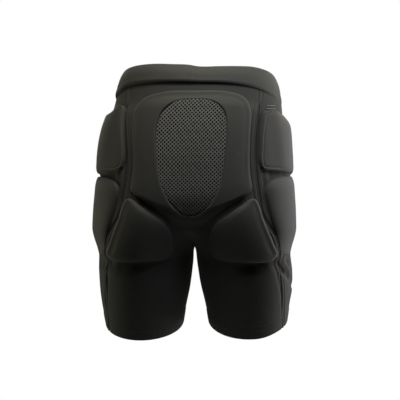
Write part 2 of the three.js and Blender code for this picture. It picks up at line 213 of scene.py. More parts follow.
# %% [markdown]
# ## Flat outlines and distances
# Every pad's edge is a smooth closed curve through a few given corners. What happens at a
# pad depends on how far a point is from that edge: the sewn flange outside it, the steep foam
# wall, the rounded shoulder, the flat top. So one helper measures that distance, and the relief
# of every pad is a function of it, put together from soft steps and humps.

# %% Soft steps and humps
def smooth(x, low, high):
    """0 below low, 1 above high, and a soft step between."""
    t = np.clip((x - low) / (high - low), 0, 1)
    return t * t * (3 - 2 * t)


def hump(x, centre, width, power=2):
    """A soft hump: 1 at the centre, falling off over the width; a high power makes it flat on top."""
    return np.exp(-(((x - centre) / width) ** power))


print("soft step at 0.25:", smooth(0.25, 0, 1), "hump at its width:", round(float(hump(1.0, 0.0, 1.0)), 3))

# %% Outline helpers
CURVE_STEPS = 40


def closed_curve(corners, count):
    """A smooth closed outline through the corners, evenly divided into count points."""
    p = np.array(corners, float)
    pieces = []
    for i in range(len(p)):
        a, b, c, d = p[i - 1], p[i], p[(i + 1) % len(p)], p[(i + 2) % len(p)]
        before, here, after = (np.linalg.norm(q - r) ** 0.5 for q, r in ((b, a), (c, b), (d, c)))
        start = ((b - a) / before - (c - a) / (before + here) + (c - b) / here) * here
        end = ((c - b) / here - (d - b) / (here + after) + (d - c) / after) * here
        t = np.linspace(0, 1, CURVE_STEPS, endpoint=False)[:, None]
        pieces.append(
            (2 * t**3 - 3 * t**2 + 1) * b + (t**3 - 2 * t**2 + t) * start
            + (3 * t**2 - 2 * t**3) * c + (t**3 - t**2) * end
        )
    dense = np.concatenate(pieces + [pieces[0][:1]])
    length = np.concatenate([[0], np.cumsum(np.linalg.norm(np.diff(dense, axis=0), axis=1))])
    at = np.linspace(0, length[-1], count, endpoint=False)
    return np.stack([np.interp(at, length, dense[:, k]) for k in (0, 1)], -1)


def distance_inside(points, outline):
    """How far flat points lie inside a closed outline; negative outside."""
    flat = points.reshape(-1, 2)
    a, b = outline, np.roll(outline, -1, axis=0)
    ab = b - a
    best = np.full(len(flat), 1e9)
    crossings = np.zeros(len(flat), int)
    for p, q, pq in zip(a, b, ab):
        t = np.clip(((flat - p) @ pq) / (pq @ pq), 0, 1)
        best = np.minimum(best, np.linalg.norm(flat - p - t[:, None] * pq, axis=1))
        spans = (p[1] > flat[:, 1]) != (q[1] > flat[:, 1])
        if p[1] != q[1]:
            meets = p[0] + (flat[:, 1] - p[1]) * pq[0] / pq[1]
            crossings += spans & (flat[:, 0] < meets)
    return (np.where(crossings % 2 == 1, best, -best)).reshape(points.shape[:-1])


def both_sides(half):
    """A whole outline from its right half, top to bottom."""
    return half + [(-share, down) for share, down in reversed(half) if share > 0]


def corners_of(start, width, top, height, table):
    """Corners in metres from shares of a width and a height in millimetres."""
    return [((start + u * width) * MM, (top + v * height) * MM) for u, v in table]


square = np.array([(0, 0), (1, 0), (1, 1), (0, 1)], float)
print("in and beside a square:", distance_inside(np.array([(0.5, 0.5), (1.5, 0.5)]), square))

# %% [markdown]
# ## Mesh helpers
# Each piece is a grid of points: rows across, columns along. Building the grid in numpy and
# handing it to Blender in one go is fast and keeps the rows in order, so the same rows can
# carry texture coordinates. The texture coordinates are in metres of cloth, so that the knit
# has its real size on every piece.

# %% Grids to meshes
def make_object(name, points, faces, pattern=None):
    """A smooth-shaded mesh object; pattern holds a flat place in metres for each point."""
    mesh = bpy.data.meshes.new(name)
    mesh.from_pydata(np.asarray(points).reshape(-1, 3).tolist(), [], faces)
    mesh.shade_smooth()
    if pattern is not None:
        layer = mesh.uv_layers.new(name="Pattern")
        corners = np.zeros(len(mesh.loops), np.int32)
        mesh.loops.foreach_get("vertex_index", corners)
        layer.data.foreach_set("uv", np.asarray(pattern, np.float32).reshape(-1, 2)[corners].ravel())
    obj = bpy.data.objects.new(name, mesh)
    bpy.context.scene.collection.objects.link(obj)
    return obj


def grid_faces(rows, columns, closed, flip=False):
    """Quads between the rows of a grid; closed joins the last column to the first."""
    faces = []
    for r in range(rows - 1):
        for c in range(columns if closed else columns - 1):
            d = (c + 1) % columns
            quad = (r * columns + c, r * columns + d, (r + 1) * columns + d, (r + 1) * columns + c)
            faces.append(quad[::-1] if flip else quad)
    return faces


def face_outwards(obj):
    """Turns all faces of a closed piece outwards."""
    bm = bmesh.new()
    bm.from_mesh(obj.data)
    bmesh.ops.recalc_face_normals(bm, faces=bm.faces)
    bm.to_mesh(obj.data)
    bm.free()


def triangles(obj):
    """How many triangles a mesh has."""
    return sum(len(p.vertices) - 2 for p in obj.data.polygons)


def add_mask(obj, name, values):
    """Stores one number per point, for a material to read. Points past the given ones get 0."""
    given = np.asarray(values, np.float32).ravel()
    whole = np.zeros(len(obj.data.vertices), np.float32)
    whole[:given.size] = given
    layer = obj.data.attributes.new(name, "FLOAT", "POINT")
    layer.data.foreach_set("value", whole)


print("faces of a grid of 3 by 4 points, open and closed:", [len(grid_faces(3, 4, shut)) for shut in (0, 1)])

# %% [markdown]
# ## What all the black cloths share
# Stretch knit, pad covers and elastic differ in the size of the knit and in how smooth it is.
# They share three effects, so each is a node group that is built once and placed in every cloth
# with its own values. A photo texture would be quicker, but it would have one size and could not
# follow these pieces. Three small helpers keep the node trees readable.

# %% Node helpers
def new_group(name, inputs, outputs):
    """An empty node group with number inputs {name: default} and typed outputs {name: type}."""
    group = bpy.data.node_groups.new(name, "ShaderNodeTree")
    for label, default in inputs.items():
        socket = group.interface.new_socket(label, in_out="INPUT", socket_type="NodeSocketFloat")
        socket.default_value = default
    for label, kind in outputs.items():
        group.interface.new_socket(label, in_out="OUTPUT", socket_type=kind)
    return group, group.nodes.new("NodeGroupInput"), group.nodes.new("NodeGroupOutput")


def add(tree, kind, values=None, **settings):
    """A node with its settings, and values for its input sockets by name or number."""
    node = tree.nodes.new("ShaderNode" + kind)
    for key, value in settings.items():
        setattr(node, key, value)
    for key, value in (values or {}).items():
        if isinstance(value, bpy.types.NodeSocket):
            tree.links.new(value, node.inputs[key])
        else:
            node.inputs[key].default_value = value
    return node


def maths(tree, operation, *values):
    """The result of a math node."""
    node = add(tree, "Math", dict(enumerate(values)), operation=operation)
    return node.outputs[0]


# %% [markdown]
# ## The knit
# A knit is rows of small interlocked loops: ribs that run up the cloth, and across them the
# courses, which lean one way and then the other. Two sine waves over the cloth coordinates give
# that relief. They are in metres, so a loop has its real size of about a millimetre.

# %% Knit: rows of loops, from cloth coordinates in metres
def make_knit_group():
    """The height of the loops."""
    group, given, result = new_group(
        "Knit", {"Loop Width": 0.0011, "Loop Height": 0.0008}, {"Height": "NodeSocketFloat"}
    )
    place = add(group, "UVMap", uv_map="Pattern").outputs["UV"]
    split = add(group, "SeparateXYZ", {"Vector": place})
    u = maths(group, "DIVIDE", split.outputs["X"], given.outputs["Loop Width"])
    v = maths(group, "DIVIDE", split.outputs["Y"], given.outputs["Loop Height"])
    wale = maths(group, "ABSOLUTE", maths(group, "SINE", maths(group, "MULTIPLY", u, math.pi)))
    lean = maths(group, "PINGPONG", u, 1.0)
    course = maths(group, "SINE", maths(group, "MULTIPLY", maths(group, "ADD", v, lean), 2 * math.pi))
    loops = maths(group, "MULTIPLY_ADD", course, 0.25, 0.5)
    height = maths(group, "MULTIPLY", maths(group, "POWER", wale, 0.6), loops)
    group.links.new(height, result.inputs["Height"])
    return group


KNIT = make_knit_group()
print("knit sockets:", [socket.name for socket in KNIT.interface.items_tree])

# %% [markdown]
# ## Black is never one black
# Dye takes unevenly, fibres stand up and lint settles. So the group gives a shade that drifts in
# broad clouds with fine flecks in it, and a mask of short lint fibres: the thin borders between
# Voronoi cells, kept only where a slower noise is high.

# %% Uneven black: broad clouds, fine flecks and lint
def make_uneven_group():
    """A shade for the colour and a mask of lint."""
    group, given, result = new_group(
        "Uneven Cloth",
        {"Cloud Scale": 14.0, "Fleck Scale": 900.0, "Lint": 0.3},
        {"Shade": "NodeSocketFloat", "Lint Mask": "NodeSocketFloat"},
    )
    place = add(group, "TexCoord").outputs["Object"]
    clouds = add(group, "TexNoise", {"Vector": place, "Scale": given.outputs["Cloud Scale"],
                                     "Detail": 3.0, "Roughness": 0.55})
    flecks = add(group, "TexNoise", {"Vector": place, "Scale": given.outputs["Fleck Scale"], "Detail": 1.0})
    mixed = maths(group, "MULTIPLY_ADD", clouds.outputs["Fac"], 0.7, 0.65)
    fine = maths(group, "MULTIPLY_ADD", flecks.outputs["Fac"], 0.4, 0.8)
    group.links.new(maths(group, "MULTIPLY", mixed, fine), result.inputs["Shade"])
    fibres = add(group, "TexVoronoi", {"Vector": place, "Scale": 260.0}, feature="DISTANCE_TO_EDGE")
    near = add(group, "MapRange", {"Value": fibres.outputs["Distance"], "From Min": 0.0, "From Max": 0.03,
                                   "To Min": 1.0, "To Max": 0.0})
    chosen = add(group, "MapRange", {"Value": add(group, "TexNoise", {"Vector": place, "Scale": 60.0})
                                     .outputs["Fac"], "From Min": 0.62, "From Max": 0.7})
    lint = maths(group, "MULTIPLY", maths(group, "MULTIPLY", near.outputs[0], chosen.outputs[0]),
                 given.outputs["Lint"])
    group.links.new(lint, result.inputs["Lint Mask"])
    return group


UNEVEN = make_uneven_group()
print("uneven cloth sockets:", [socket.name for socket in UNEVEN.interface.items_tree])

# %% [markdown]
# ## Rubbed edges
# Cloth over foam is rubbed where it stands out, along the shoulders of the pads and the lower lip
# of the band. Each mesh carries that place as an attribute, worked out with its shape, and the
# group breaks it up with noise so that the wear has no hard border.

# %% Rubbed edges: the mask on the mesh, broken up by noise
def make_rubbed_group():
    """How much the cloth is rubbed."""
    group, given, result = new_group(
        "Rubbed Edges", {"Strength": 0.1, "Break Up": 700.0}, {"Mask": "NodeSocketFloat"}
    )
    worn = add(group, "Attribute", attribute_name="wear").outputs["Fac"]
    place = add(group, "TexCoord").outputs["Object"]
    noise = add(group, "TexNoise", {"Vector": place, "Scale": given.outputs["Break Up"], "Detail": 2.0})
    broken = add(group, "MapRange", {"Value": noise.outputs["Fac"], "From Min": 0.35, "From Max": 0.7})
    mask = maths(group, "MULTIPLY", maths(group, "MULTIPLY", worn, broken.outputs[0]),
                 given.outputs["Strength"])
    group.links.new(mask, result.inputs["Mask"])
    return group


RUBBED = make_rubbed_group()
print("rubbed edges sockets:", [socket.name for socket in RUBBED.interface.items_tree])

# %% [markdown]
# ## The cloth material
# One function makes every cloth: base colour from the uneven black, lightened where it is
# rubbed and darkened in the valleys of the knit as painted shade, roughness that follows the
# same masks, and the knit as bump. Sheen is what makes fabric look like fabric: the loose
# fibres catch light at grazing angles and the edges glow.

# %% Cloth materials
def make_group_node(tree, group, values):
    """A node group placed in a material, with this material's values."""
    node = tree.nodes.new("ShaderNodeGroup")
    node.node_tree = group
    for key, value in values.items():
        node.inputs[key].default_value = value
    return node


def make_cloth(name, colour, worn_colour, roughness, sheen, loop, bump, specular=0.3, strength=0.12):
    """A knitted cloth. loop is the knit's (width, height) in metres, bump its depth in metres."""
    material = bpy.data.materials.new(name)
    material.use_nodes = True
    tree = material.node_tree
    surface = tree.nodes["Principled BSDF"]
    surface.inputs["Sheen Weight"].default_value = sheen
    surface.inputs["Sheen Roughness"].default_value = 0.35
    surface.inputs["Specular IOR Level"].default_value = specular
    uneven = make_group_node(tree, UNEVEN, {"Cloud Scale": 14.0, "Fleck Scale": 900.0, "Lint": 0.3})
    rubbed = make_group_node(tree, RUBBED, {"Strength": strength, "Break Up": 700.0})
    knit = make_group_node(tree, KNIT, {"Loop Width": loop[0], "Loop Height": loop[1]})
    dark = [c * 0.55 for c in colour]
    black = add(tree, "Mix", {"Factor": uneven.outputs["Shade"], "A": (*dark, 1), "B": (*colour, 1)},
                data_type="RGBA")
    # Painted shade: the low parts of the knit's loops take the darker colour, as if shade fell between them.
    deep = add(tree, "Mix", {"Factor": knit.outputs["Height"], "A": (*dark, 1),
                             "B": black.outputs["Result"]}, data_type="RGBA")
    worn = maths(tree, "MAXIMUM", rubbed.outputs["Mask"], uneven.outputs["Lint Mask"])
    final = add(tree, "Mix", {"Factor": worn, "A": deep.outputs["Result"], "B": (*worn_colour, 1)},
                data_type="RGBA")
    tree.links.new(final.outputs["Result"], surface.inputs["Base Color"])
    rough = maths(tree, "MULTIPLY_ADD", uneven.outputs["Shade"], 0.12, roughness - 0.06)
    tree.links.new(rough, surface.inputs["Roughness"])
    relief = add(tree, "Bump", {"Height": knit.outputs["Height"], "Strength": 0.6, "Distance": bump})
    tree.links.new(relief.outputs["Normal"], surface.inputs["Normal"])
    return material


STRETCH = make_cloth("stretch_knit", (0.029, 0.029, 0.0284), (0.06, 0.06, 0.058), 0.78, 0.10,
                     (1.0 * MM, 0.75 * MM), 0.12 * MM)
PAD_COVER = make_cloth("pad_cover_knit", (0.03, 0.03, 0.029), (0.09, 0.09, 0.086), 0.68, 0.14,
                       (0.8 * MM, 0.6 * MM), 0.08 * MM)
ELASTIC = make_cloth("ribbed_elastic", (0.036, 0.036, 0.035), (0.09, 0.09, 0.086), 0.7, 0.12,
                     (1.4 * MM, 1.2 * MM), 0.2 * MM)
THREAD = make_cloth("sewing_thread", (0.03, 0.03, 0.03), (0.08, 0.08, 0.078), 0.55, 0.1,
                    (0.3 * MM, 0.2 * MM), 0.03 * MM)
PALE_THREAD = make_cloth("bar_tack_thread", (0.13, 0.13, 0.128), (0.17, 0.17, 0.167), 0.5, 0.1,
                         (0.3 * MM, 0.2 * MM), 0.03 * MM)
print("cloths:", ", ".join(m.name for m in (STRETCH, PAD_COVER, ELASTIC, THREAD, PALE_THREAD)))

# %% [markdown]
# ## The cloth body
# The real one is cut as a back, a front and two side panels of four-way stretch knit, sewn with
# flat seams. Sculpting it would be the usual way; here the section formula already has the
# form, so the body is a fine grid over it, pushed in and out by the folds, the flat seams and
# the hems. First comes the line of the side panel's two seams: straight down the hip, then
# swinging outwards beside the buttock pads.

# %% Where the seams run
SEAM_HIP, SEAM_THIGH = 110.5 * MM, 149 * MM
SEAM_SWINGS = (
    (0.0, 0.0), (0.62, 0.0), (0.7, 0.1), (0.77, 0.22), (0.83, 0.5), (0.9, 0.82), (0.97, 0.95), (1.1, 1.0),
    (1.5, 1.08), (2.0, 1.08),
)


def seam_across(down):
    """How far from the centre plane the side panel's seam runs."""
    at = level_to_down(np.array([level for level, swing in SEAM_SWINGS]))
    swing = curve_through(at, np.array([swing for level, swing in SEAM_SWINGS]), down)
    return SEAM_HIP + (SEAM_THIGH - SEAM_HIP) * swing


print("seams at the hip and the thigh:", [round(float(seam_across(np.array(d))), 4) for d in (0.1, 0.4)])

# %% [markdown]
# ## A grid whose columns follow the seams
# If a seam crossed the grid at a slant, its welt would show steps. So the columns are spread
# anew in every row: some up to the seam, some across the side panel, and the rest behind and in
# front. The body then comes apart exactly along its seams. Rows and columns are closest where
# the relief is fine, at the seams and the hem.

# %% The grid of the right half
BODY_TOP = 24 * MM
TRUNK_ROWS, LEG_ROWS, HEM_ROWS = 110, 44, 26
BACK_COLUMNS, FRONT_COLUMNS, SIDE_COLUMNS = (28, 34), (28, 14), (14, 76, 10)
STRIP_WIDTH, NEAR_SEAM = 27 * MM, 12 * MM
HEM_ZONE, BRIDGED_HALF = 24 * MM, 60 * MM


def arc_where(row, values, target, from_back):
    """How far along the cloth a ring first comes down to a value, going back or forward."""
    x = values[SIDE:] if from_back else values[SIDE::-1]
    arc = ARCS_BODY[row][SIDE:] if from_back else ARCS_BODY[row][SIDE::-1]
    below = np.nonzero(x <= target)[0]
    if not len(below):
        return arc[-1]
    k = below[0]
    share = (x[k - 1] - target) / (x[k - 1] - x[k])
    return arc[k - 1] + share * (arc[k] - arc[k - 1])


t = np.linspace(0, 1, TRUNK_ROWS, endpoint=False)
trunk = BODY_TOP + (RISE - BODY_TOP) * (1 - (1 - t) ** 1.35)
leg = np.linspace(RISE, HEM_DOWN - HEM_ZONE, LEG_ROWS, endpoint=False)
body_downs = np.concatenate([trunk, leg, np.linspace(HEM_DOWN - HEM_ZONE, HEM_DOWN, HEM_ROWS)])
body_rings, ARCS_BODY = measured_rings(body_downs)

body_arcs, seam_arcs = [], []
for row, down in enumerate(body_downs):
    x = body_rings[row, :, 0]
    ends = [arc_where(row, x, 0.0 if down < RISE else -1.0, back) for back in (True, False)]
    seams = [arc_where(row, x, seam_across(down), back) for back in (True, False)]
    seam_arcs.append(seams)
    stops = [ends[0], seams[0] + STRIP_WIDTH, seams[0], seams[0] - NEAR_SEAM, seams[1] + NEAR_SEAM, seams[1],
             seams[1] - NEAR_SEAM, ends[1]]
    counts = [*BACK_COLUMNS, *SIDE_COLUMNS, *reversed(FRONT_COLUMNS)]
    parts = [np.linspace(a, b, n, endpoint=False) for a, b, n in zip(stops, stops[1:], counts)]
    body_arcs.append(np.concatenate(parts + [[ends[1]]]))
body_arcs, seam_arcs = np.array(body_arcs), np.array(seam_arcs)
BODY_COLUMNS = body_arcs.shape[1]
body_down_grid = np.repeat(body_downs[:, None], BODY_COLUMNS, axis=1)
body_angles = np.stack([np.interp(arcs, ARCS_BODY[row], RING_ANGLES) for row, arcs in enumerate(body_arcs)])
body_points = ring_point(body_down_grid, body_angles)

# The cloth bridges the hollow between the two halves, less and less towards the crotch
fade = 1 - smooth(body_down_grid / RISE, 0.8, 0.985)
bridged = on_back(body_points[..., 0], body_down_grid, BRIDGING * fade)
near_centre = (np.abs(body_points[..., 0]) < BRIDGED_HALF) & (body_points[..., 1] < 0)
near_centre &= body_down_grid < RISE
body_points[near_centre] = bridged[near_centre]
print("body grid", body_points.shape)

# %% [markdown]
# ## Folds
# The cloth is tight, so there are few folds: where it bends in under the pads, between the two
# hip pads, and the crumpled loops below the right hip pad. A cloth simulation would put folds
# where it likes. Here each is drawn along the cloth as a line with a width and a height, and a
# negative height is a furrow.

# %% Folds, measured along the cloth
FOLDS = [  # side (1 right, -1 left, 0 both), start, end, width and height, all in millimetres
    (1, (58, 327), (12, 372), 5, -2.4),
    (1, (84, 326), (68, 346), 4, -5.5),
    (1, (68, 346), (2, 381), 5, -4.0),
    (1, (66, 324), (36, 352), 7, 3.2),
    (1, (14, 368), (26, 398), 9, 1.2),
    (1, (96, 336), (74, 373), 3.5, -1.4),
    (1, (74, 373), (43, 436), 3.5, -1.4),
    (-1, (88, 340), (60, 391), 3.5, -1.3),
    (-1, (60, 391), (51, 434), 3.5, -1.3),
    (-1, (78, 350), (50, 398), 5, 1.4),
    (0, (152, 330), (50, 331), 9, -7.5),
    (1, (170, 352), (110, 338), 9, 0.8),
    (-1, (175, 345), (115, 336), 9, 0.8),
    (1, (190, 380), (140, 360), 10, 0.7),
    (-1, (190, 384), (140, 366), 10, 0.7),
    (0, (-60, 300), (-120, 318), 10, 1.2),
    (0, (-40, 330), (-120, 340), 12, -0.9),
    (1, (112, 172), (113, 194), 7, 3.6),
    (-1, (110, 172), (112, 194), 7, 3.6),
    (0, (60, 182), (98, 188), 4, 3.0),
    (1, (55, 178), (-10, 178), 4.5, 6.5),
    (-1, (50, 178), (-10, 178), 4.5, 4.5),
]


def fold_relief(side, around, down):
    """How far the folds push the cloth out or in."""
    relief = np.zeros_like(around)
    for fold_side, start, end, width, height in FOLDS:
        if fold_side not in (side, 0):
            continue
        a, b = np.array(start) * MM, np.array(end) * MM
        p = np.stack([around, down], -1)
        t = np.clip(((p - a) @ (b - a)) / ((b - a) @ (b - a)), 0, 1)
        away = np.linalg.norm(p - a - t[..., None] * (b - a), axis=-1)
        taper = np.sin(np.pi * np.clip(0.12 + 0.76 * t, 0, 1)) ** 0.7
        relief += height * MM * taper * hump(away, 0, width * MM)
    return relief


WAVES = ((61, 37, 1), (23, -71, 2))  # radians per metre around and down, and the sides' offset
WAVE_HEIGHT = 0.25 * MM


def soft_waves(side, around, down):
    """Slight unevenness of the cloth on the legs, where no pad holds it."""
    waves = sum(np.sin(around * across + down * along + side * offset) for across, along, offset in WAVES)
    return WAVE_HEIGHT * waves * smooth(down, 280 * MM, 360 * MM)


print(len(FOLDS), "folds")

# %% [markdown]
# ## Seams, edge strips and hems
# The real seams are flat-locked: a low welt between two furrows. Behind the hip pads the back
# panel's edge is a raised strip with two rows of stitching, and beside it the cloth dips into a
# narrow slit. The hem is turned up, so it is twice as thick. All of these are heights above the
# cloth at a distance from a line, and the body adds them up.

# %% The relief of seams, strips and hems
HEM_HEIGHT = 20 * MM


def seam_relief(distance):
    """A flat seam: a low welt with a furrow on both sides."""
    welt = 0.7 * MM * hump(distance, 0, 2.2 * MM, power=4)
    return welt - 0.8 * MM * hump(np.abs(distance), 4 * MM, 1.6 * MM)


STRIP_HEIGHT, SIDE_EDGE = 5.0 * MM, 2.6 * MM
SLIT_DEPTH, SLIT_WIDTH = 6.5 * MM, 3.6 * MM
PIPING = (5 * MM, 12.5 * MM)  # how far behind the seam its two rows lie


def strip_relief(distance, down):
    """The raised edge strip of the back panel with its two rows of stitching, and the slit beside it."""
    terrace = STRIP_HEIGHT * smooth(distance, 0.5 * MM, 2.4 * MM) * (1 - smooth(distance, 26 * MM, 42 * MM))
    furrows = sum(1.3 * MM * hump(distance, at, 1.3 * MM) for at in PIPING)
    beside = SIDE_EDGE * smooth(-distance, 0.9 * MM, 2.6 * MM) * (1 - smooth(-distance, 6 * MM, 14 * MM))
    beside = beside * smooth(down, 160 * MM, 172 * MM)
    return terrace - furrows + beside - SLIT_DEPTH * hump(distance, 0, SLIT_WIDTH / 2, power=4)


def strip_extent(down):
    """Where the edge strip and its slit run: from the hip pads' top to the lower end of the pads."""
    return smooth(down, 58 * MM, 80 * MM) * (1 - smooth(down, 322 * MM, 352 * MM))


def hem_relief(down):
    """The turned-up hem is twice as thick, with a furrow along its stitching."""
    inside = HEM_DOWN - down
    doubled = 0.8 * MM * (1 - smooth(inside, HEM_HEIGHT - 1.5 * MM, HEM_HEIGHT + 1.5 * MM))
    return doubled - 0.7 * MM * hump(inside, HEM_HEIGHT - 3 * MM, 1.4 * MM)


TOP_FULL, LEG_FULL = 1.2 * MM, 1.8 * MM


def fullness(down):
    """The cloth stands a little off the body above and below the pads, and is drawn in by them."""
    above = TOP_FULL * smooth(down, 32 * MM, 40 * MM) * (1 - smooth(down, 60 * MM, 85 * MM))
    return above + LEG_FULL * smooth(down, 320 * MM, 350 * MM)


print("edge strip at 50, 200 and 400 mm:", [float(strip_extent(down * MM)) for down in (50, 200, 400)])

# %% [markdown]
# ## Making the body
# The right half is mirrored to make the left one, with its own folds. Every point moves along
# its normal by its relief. The points on the centre plane are held on it, or the halves would
# part.

# %% Make the body, with its folds, seams and hems
LEFT_PATTERN_SHIFT = 1.3  # metres, so that the left half's cloth coordinates lie beside the right's
MERGE_WITHIN, ON_PLANE = 0.02 * MM, 0.01 * MM
PANELS = ["back_panel", "front_panel", "side_panel_right", "side_panel_left"]


def make_body():
    """The outer face of the cloth as one mesh, with each face's place in PANELS stored."""
    rows = len(body_downs)
    count = rows * BODY_COLUMNS
    left = body_points * (-1, 1, 1)
    points = np.concatenate([body_points.reshape(-1, 3), left.reshape(-1, 3)])
    faces = grid_faces(rows, BODY_COLUMNS, False, flip=True)
    faces += [tuple(i + count for i in reversed(f)) for f in faces]
    pattern = np.stack([body_arcs, body_down_grid], -1).reshape(-1, 2)
    pattern = np.concatenate([pattern, pattern * (-1, 1) + (LEFT_PATTERN_SHIFT, 0)])
    body = make_object("body", points, faces, pattern)
    relief = []
    for side in (1, -1):
        r = fold_relief(side, body_arcs, body_down_grid) + soft_waves(side, body_arcs, body_down_grid)
        extent = strip_extent(body_down_grid)
        behind, ahead = (body_arcs - seam_arcs[:, k:k + 1] for k in (0, 1))
        r = r + seam_relief(ahead) + seam_relief(behind) * (1 - extent)
        r = r + strip_relief(behind, body_down_grid) * extent
        r = r + hem_relief(body_down_grid) + fullness(body_down_grid)
        r[:, [0, -1]] = r[:, [0, -1]].mean(axis=1, keepdims=True)
        relief.append(r.ravel())
    add_mask(body, "relief", np.concatenate(relief))
    bm = bmesh.new()
    bm.from_mesh(body.data)
    panel = bm.faces.layers.int.new("panel")
    bm.faces.ensure_lookup_table()
    half = len(bm.faces) // 2
    for i, f in enumerate(bm.faces):
        c = (i % half) % (BODY_COLUMNS - 1)
        back, front = c < sum(BACK_COLUMNS), c >= sum(BACK_COLUMNS) + sum(SIDE_COLUMNS)
        f[panel] = 0 if back else 1 if front else 2 if i < half else 3
    bmesh.ops.remove_doubles(bm, verts=bm.verts, dist=MERGE_WITHIN)
    bm.normal_update()
    height = bm.verts.layers.float["relief"]
    moves = [(v, v.normal * v[height]) for v in bm.verts]
    for v, move in moves:
        on_plane = abs(v.co.x) < ON_PLANE
        v.co += move
        if on_plane:
            v.co.x = 0.0
    bm.to_mesh(body.data)
    bm.free()
    return body


body = make_body()
print("body", triangles(body), "triangles")

# %% [markdown]
# ## Four panels with a thickness
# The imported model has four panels, so the body is taken apart along its seams, one copy for each
# panel with the other faces deleted. A Solidify modifier then adds the 2 mm wall on the inside,
# which leaves the outer face where it was made.

# %% Take it apart along the seams and give each panel its thickness
CLOTH_WALL = 2 * MM


def make_panel(index, name):
    """One sewn panel of the body."""
    mesh = body.data.copy()
    mesh.name = name + "_cloth"
    bm = bmesh.new()
    bm.from_mesh(mesh)
    layer = bm.faces.layers.int["panel"]
    others = [f for f in bm.faces if f[layer] != index]
    bmesh.ops.delete(bm, geom=others, context="FACES")
    bm.to_mesh(mesh)
    bm.free()
    obj = bpy.data.objects.new(name + "_cloth", mesh)
    bpy.context.scene.collection.objects.link(obj)
    add_mask(obj, "wear", np.zeros(len(mesh.vertices)))
    flat = sum(p.area for p in mesh.polygons)
    wall = obj.modifiers.new("wall", "SOLIDIFY")
    wall.thickness = CLOTH_WALL
    wall.offset = -1.0
    wall.use_even_offset = False
    obj.data.materials.append(STRETCH)
    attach(obj, "root")
    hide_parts(name)
    print(name, f"{flat:.4f} square metres", triangles(obj), "triangles before its wall")
    return obj, flat


panels = {}
panel_areas = {}
for index, name in enumerate(PANELS):
    panels[name], panel_areas[name] = make_panel(index, name)
bpy.data.objects.remove(body)

# %% [markdown]
# ## The waistband
# A broad elastic in a turned-over casing, sewn to the top of the body. It is a profile carried
# round the waist: rounded top edge, flat ribbed face, and along the seam a fuller lower lip,
# because the elastic pushes the casing out there. The ends of the elastic overlap at the centre
# back, which makes the upper edge step a little. Fine ribs are real relief, not just bump.

# %% Waistband
BAND_HEIGHT, BAND_WALL, BAND_PROUD, BAND_LEAN = 30 * MM, 3 * MM, 2.8 * MM, 15 * MM
BAND_SIDES, FACE_ROWS = 480, 40
LIP_HEIGHT, LIP_AT, LIP_WIDTH = 1.9 * MM, 0.86, 0.12  # the last two as shares of the band's height
RIB_HEIGHT, RIBS = 0.16 * MM, 11
JOIN_ACROSS, JOIN_HEIGHT = -5 * MM, 0.8 * MM
WAIST_HALF, WAIST_RADIUS = 146 * MM, 127 * MM
RIM_LINE = (  # across, lift of the upper edge in mm
    (-150, 5.0), (-100, 8.3), (-70, 7.0), (-40, 4.0), (-12, 1.8), (2, -0.6), (40, -0.1), (70, 1.6), (96, 3.2),
    (125, 1.6), (150, 0.0),
)
FOOT_LINE = (  # across, lift of the lower edge in mm
    (-150, -12.0), (-137, -7.4), (-116, 0.2), (-90, 1.4), (-75, 1.0), (-43, 0.0), (0, -2.2), (58, -3.4),
    (92, -7.0), (109, -10.5), (121, -14.5), (133, -19.5), (145, -25.5), (150, -27.0),
)


def line_lift(line, across, y):
    """How far an edge of the band is lifted, from its table behind and level off to the front."""
    at, lift = np.array(line).T
    behind = curve_through(at, lift, np.clip(across / MM, -150, 149.9))
    ahead = np.where(across < 0, lift[0], lift[-1]) * (across / WAIST_HALF) ** 2
    front = smooth(y, -20 * MM, 20 * MM)
    return (behind * (1 - front) + ahead * front) * MM


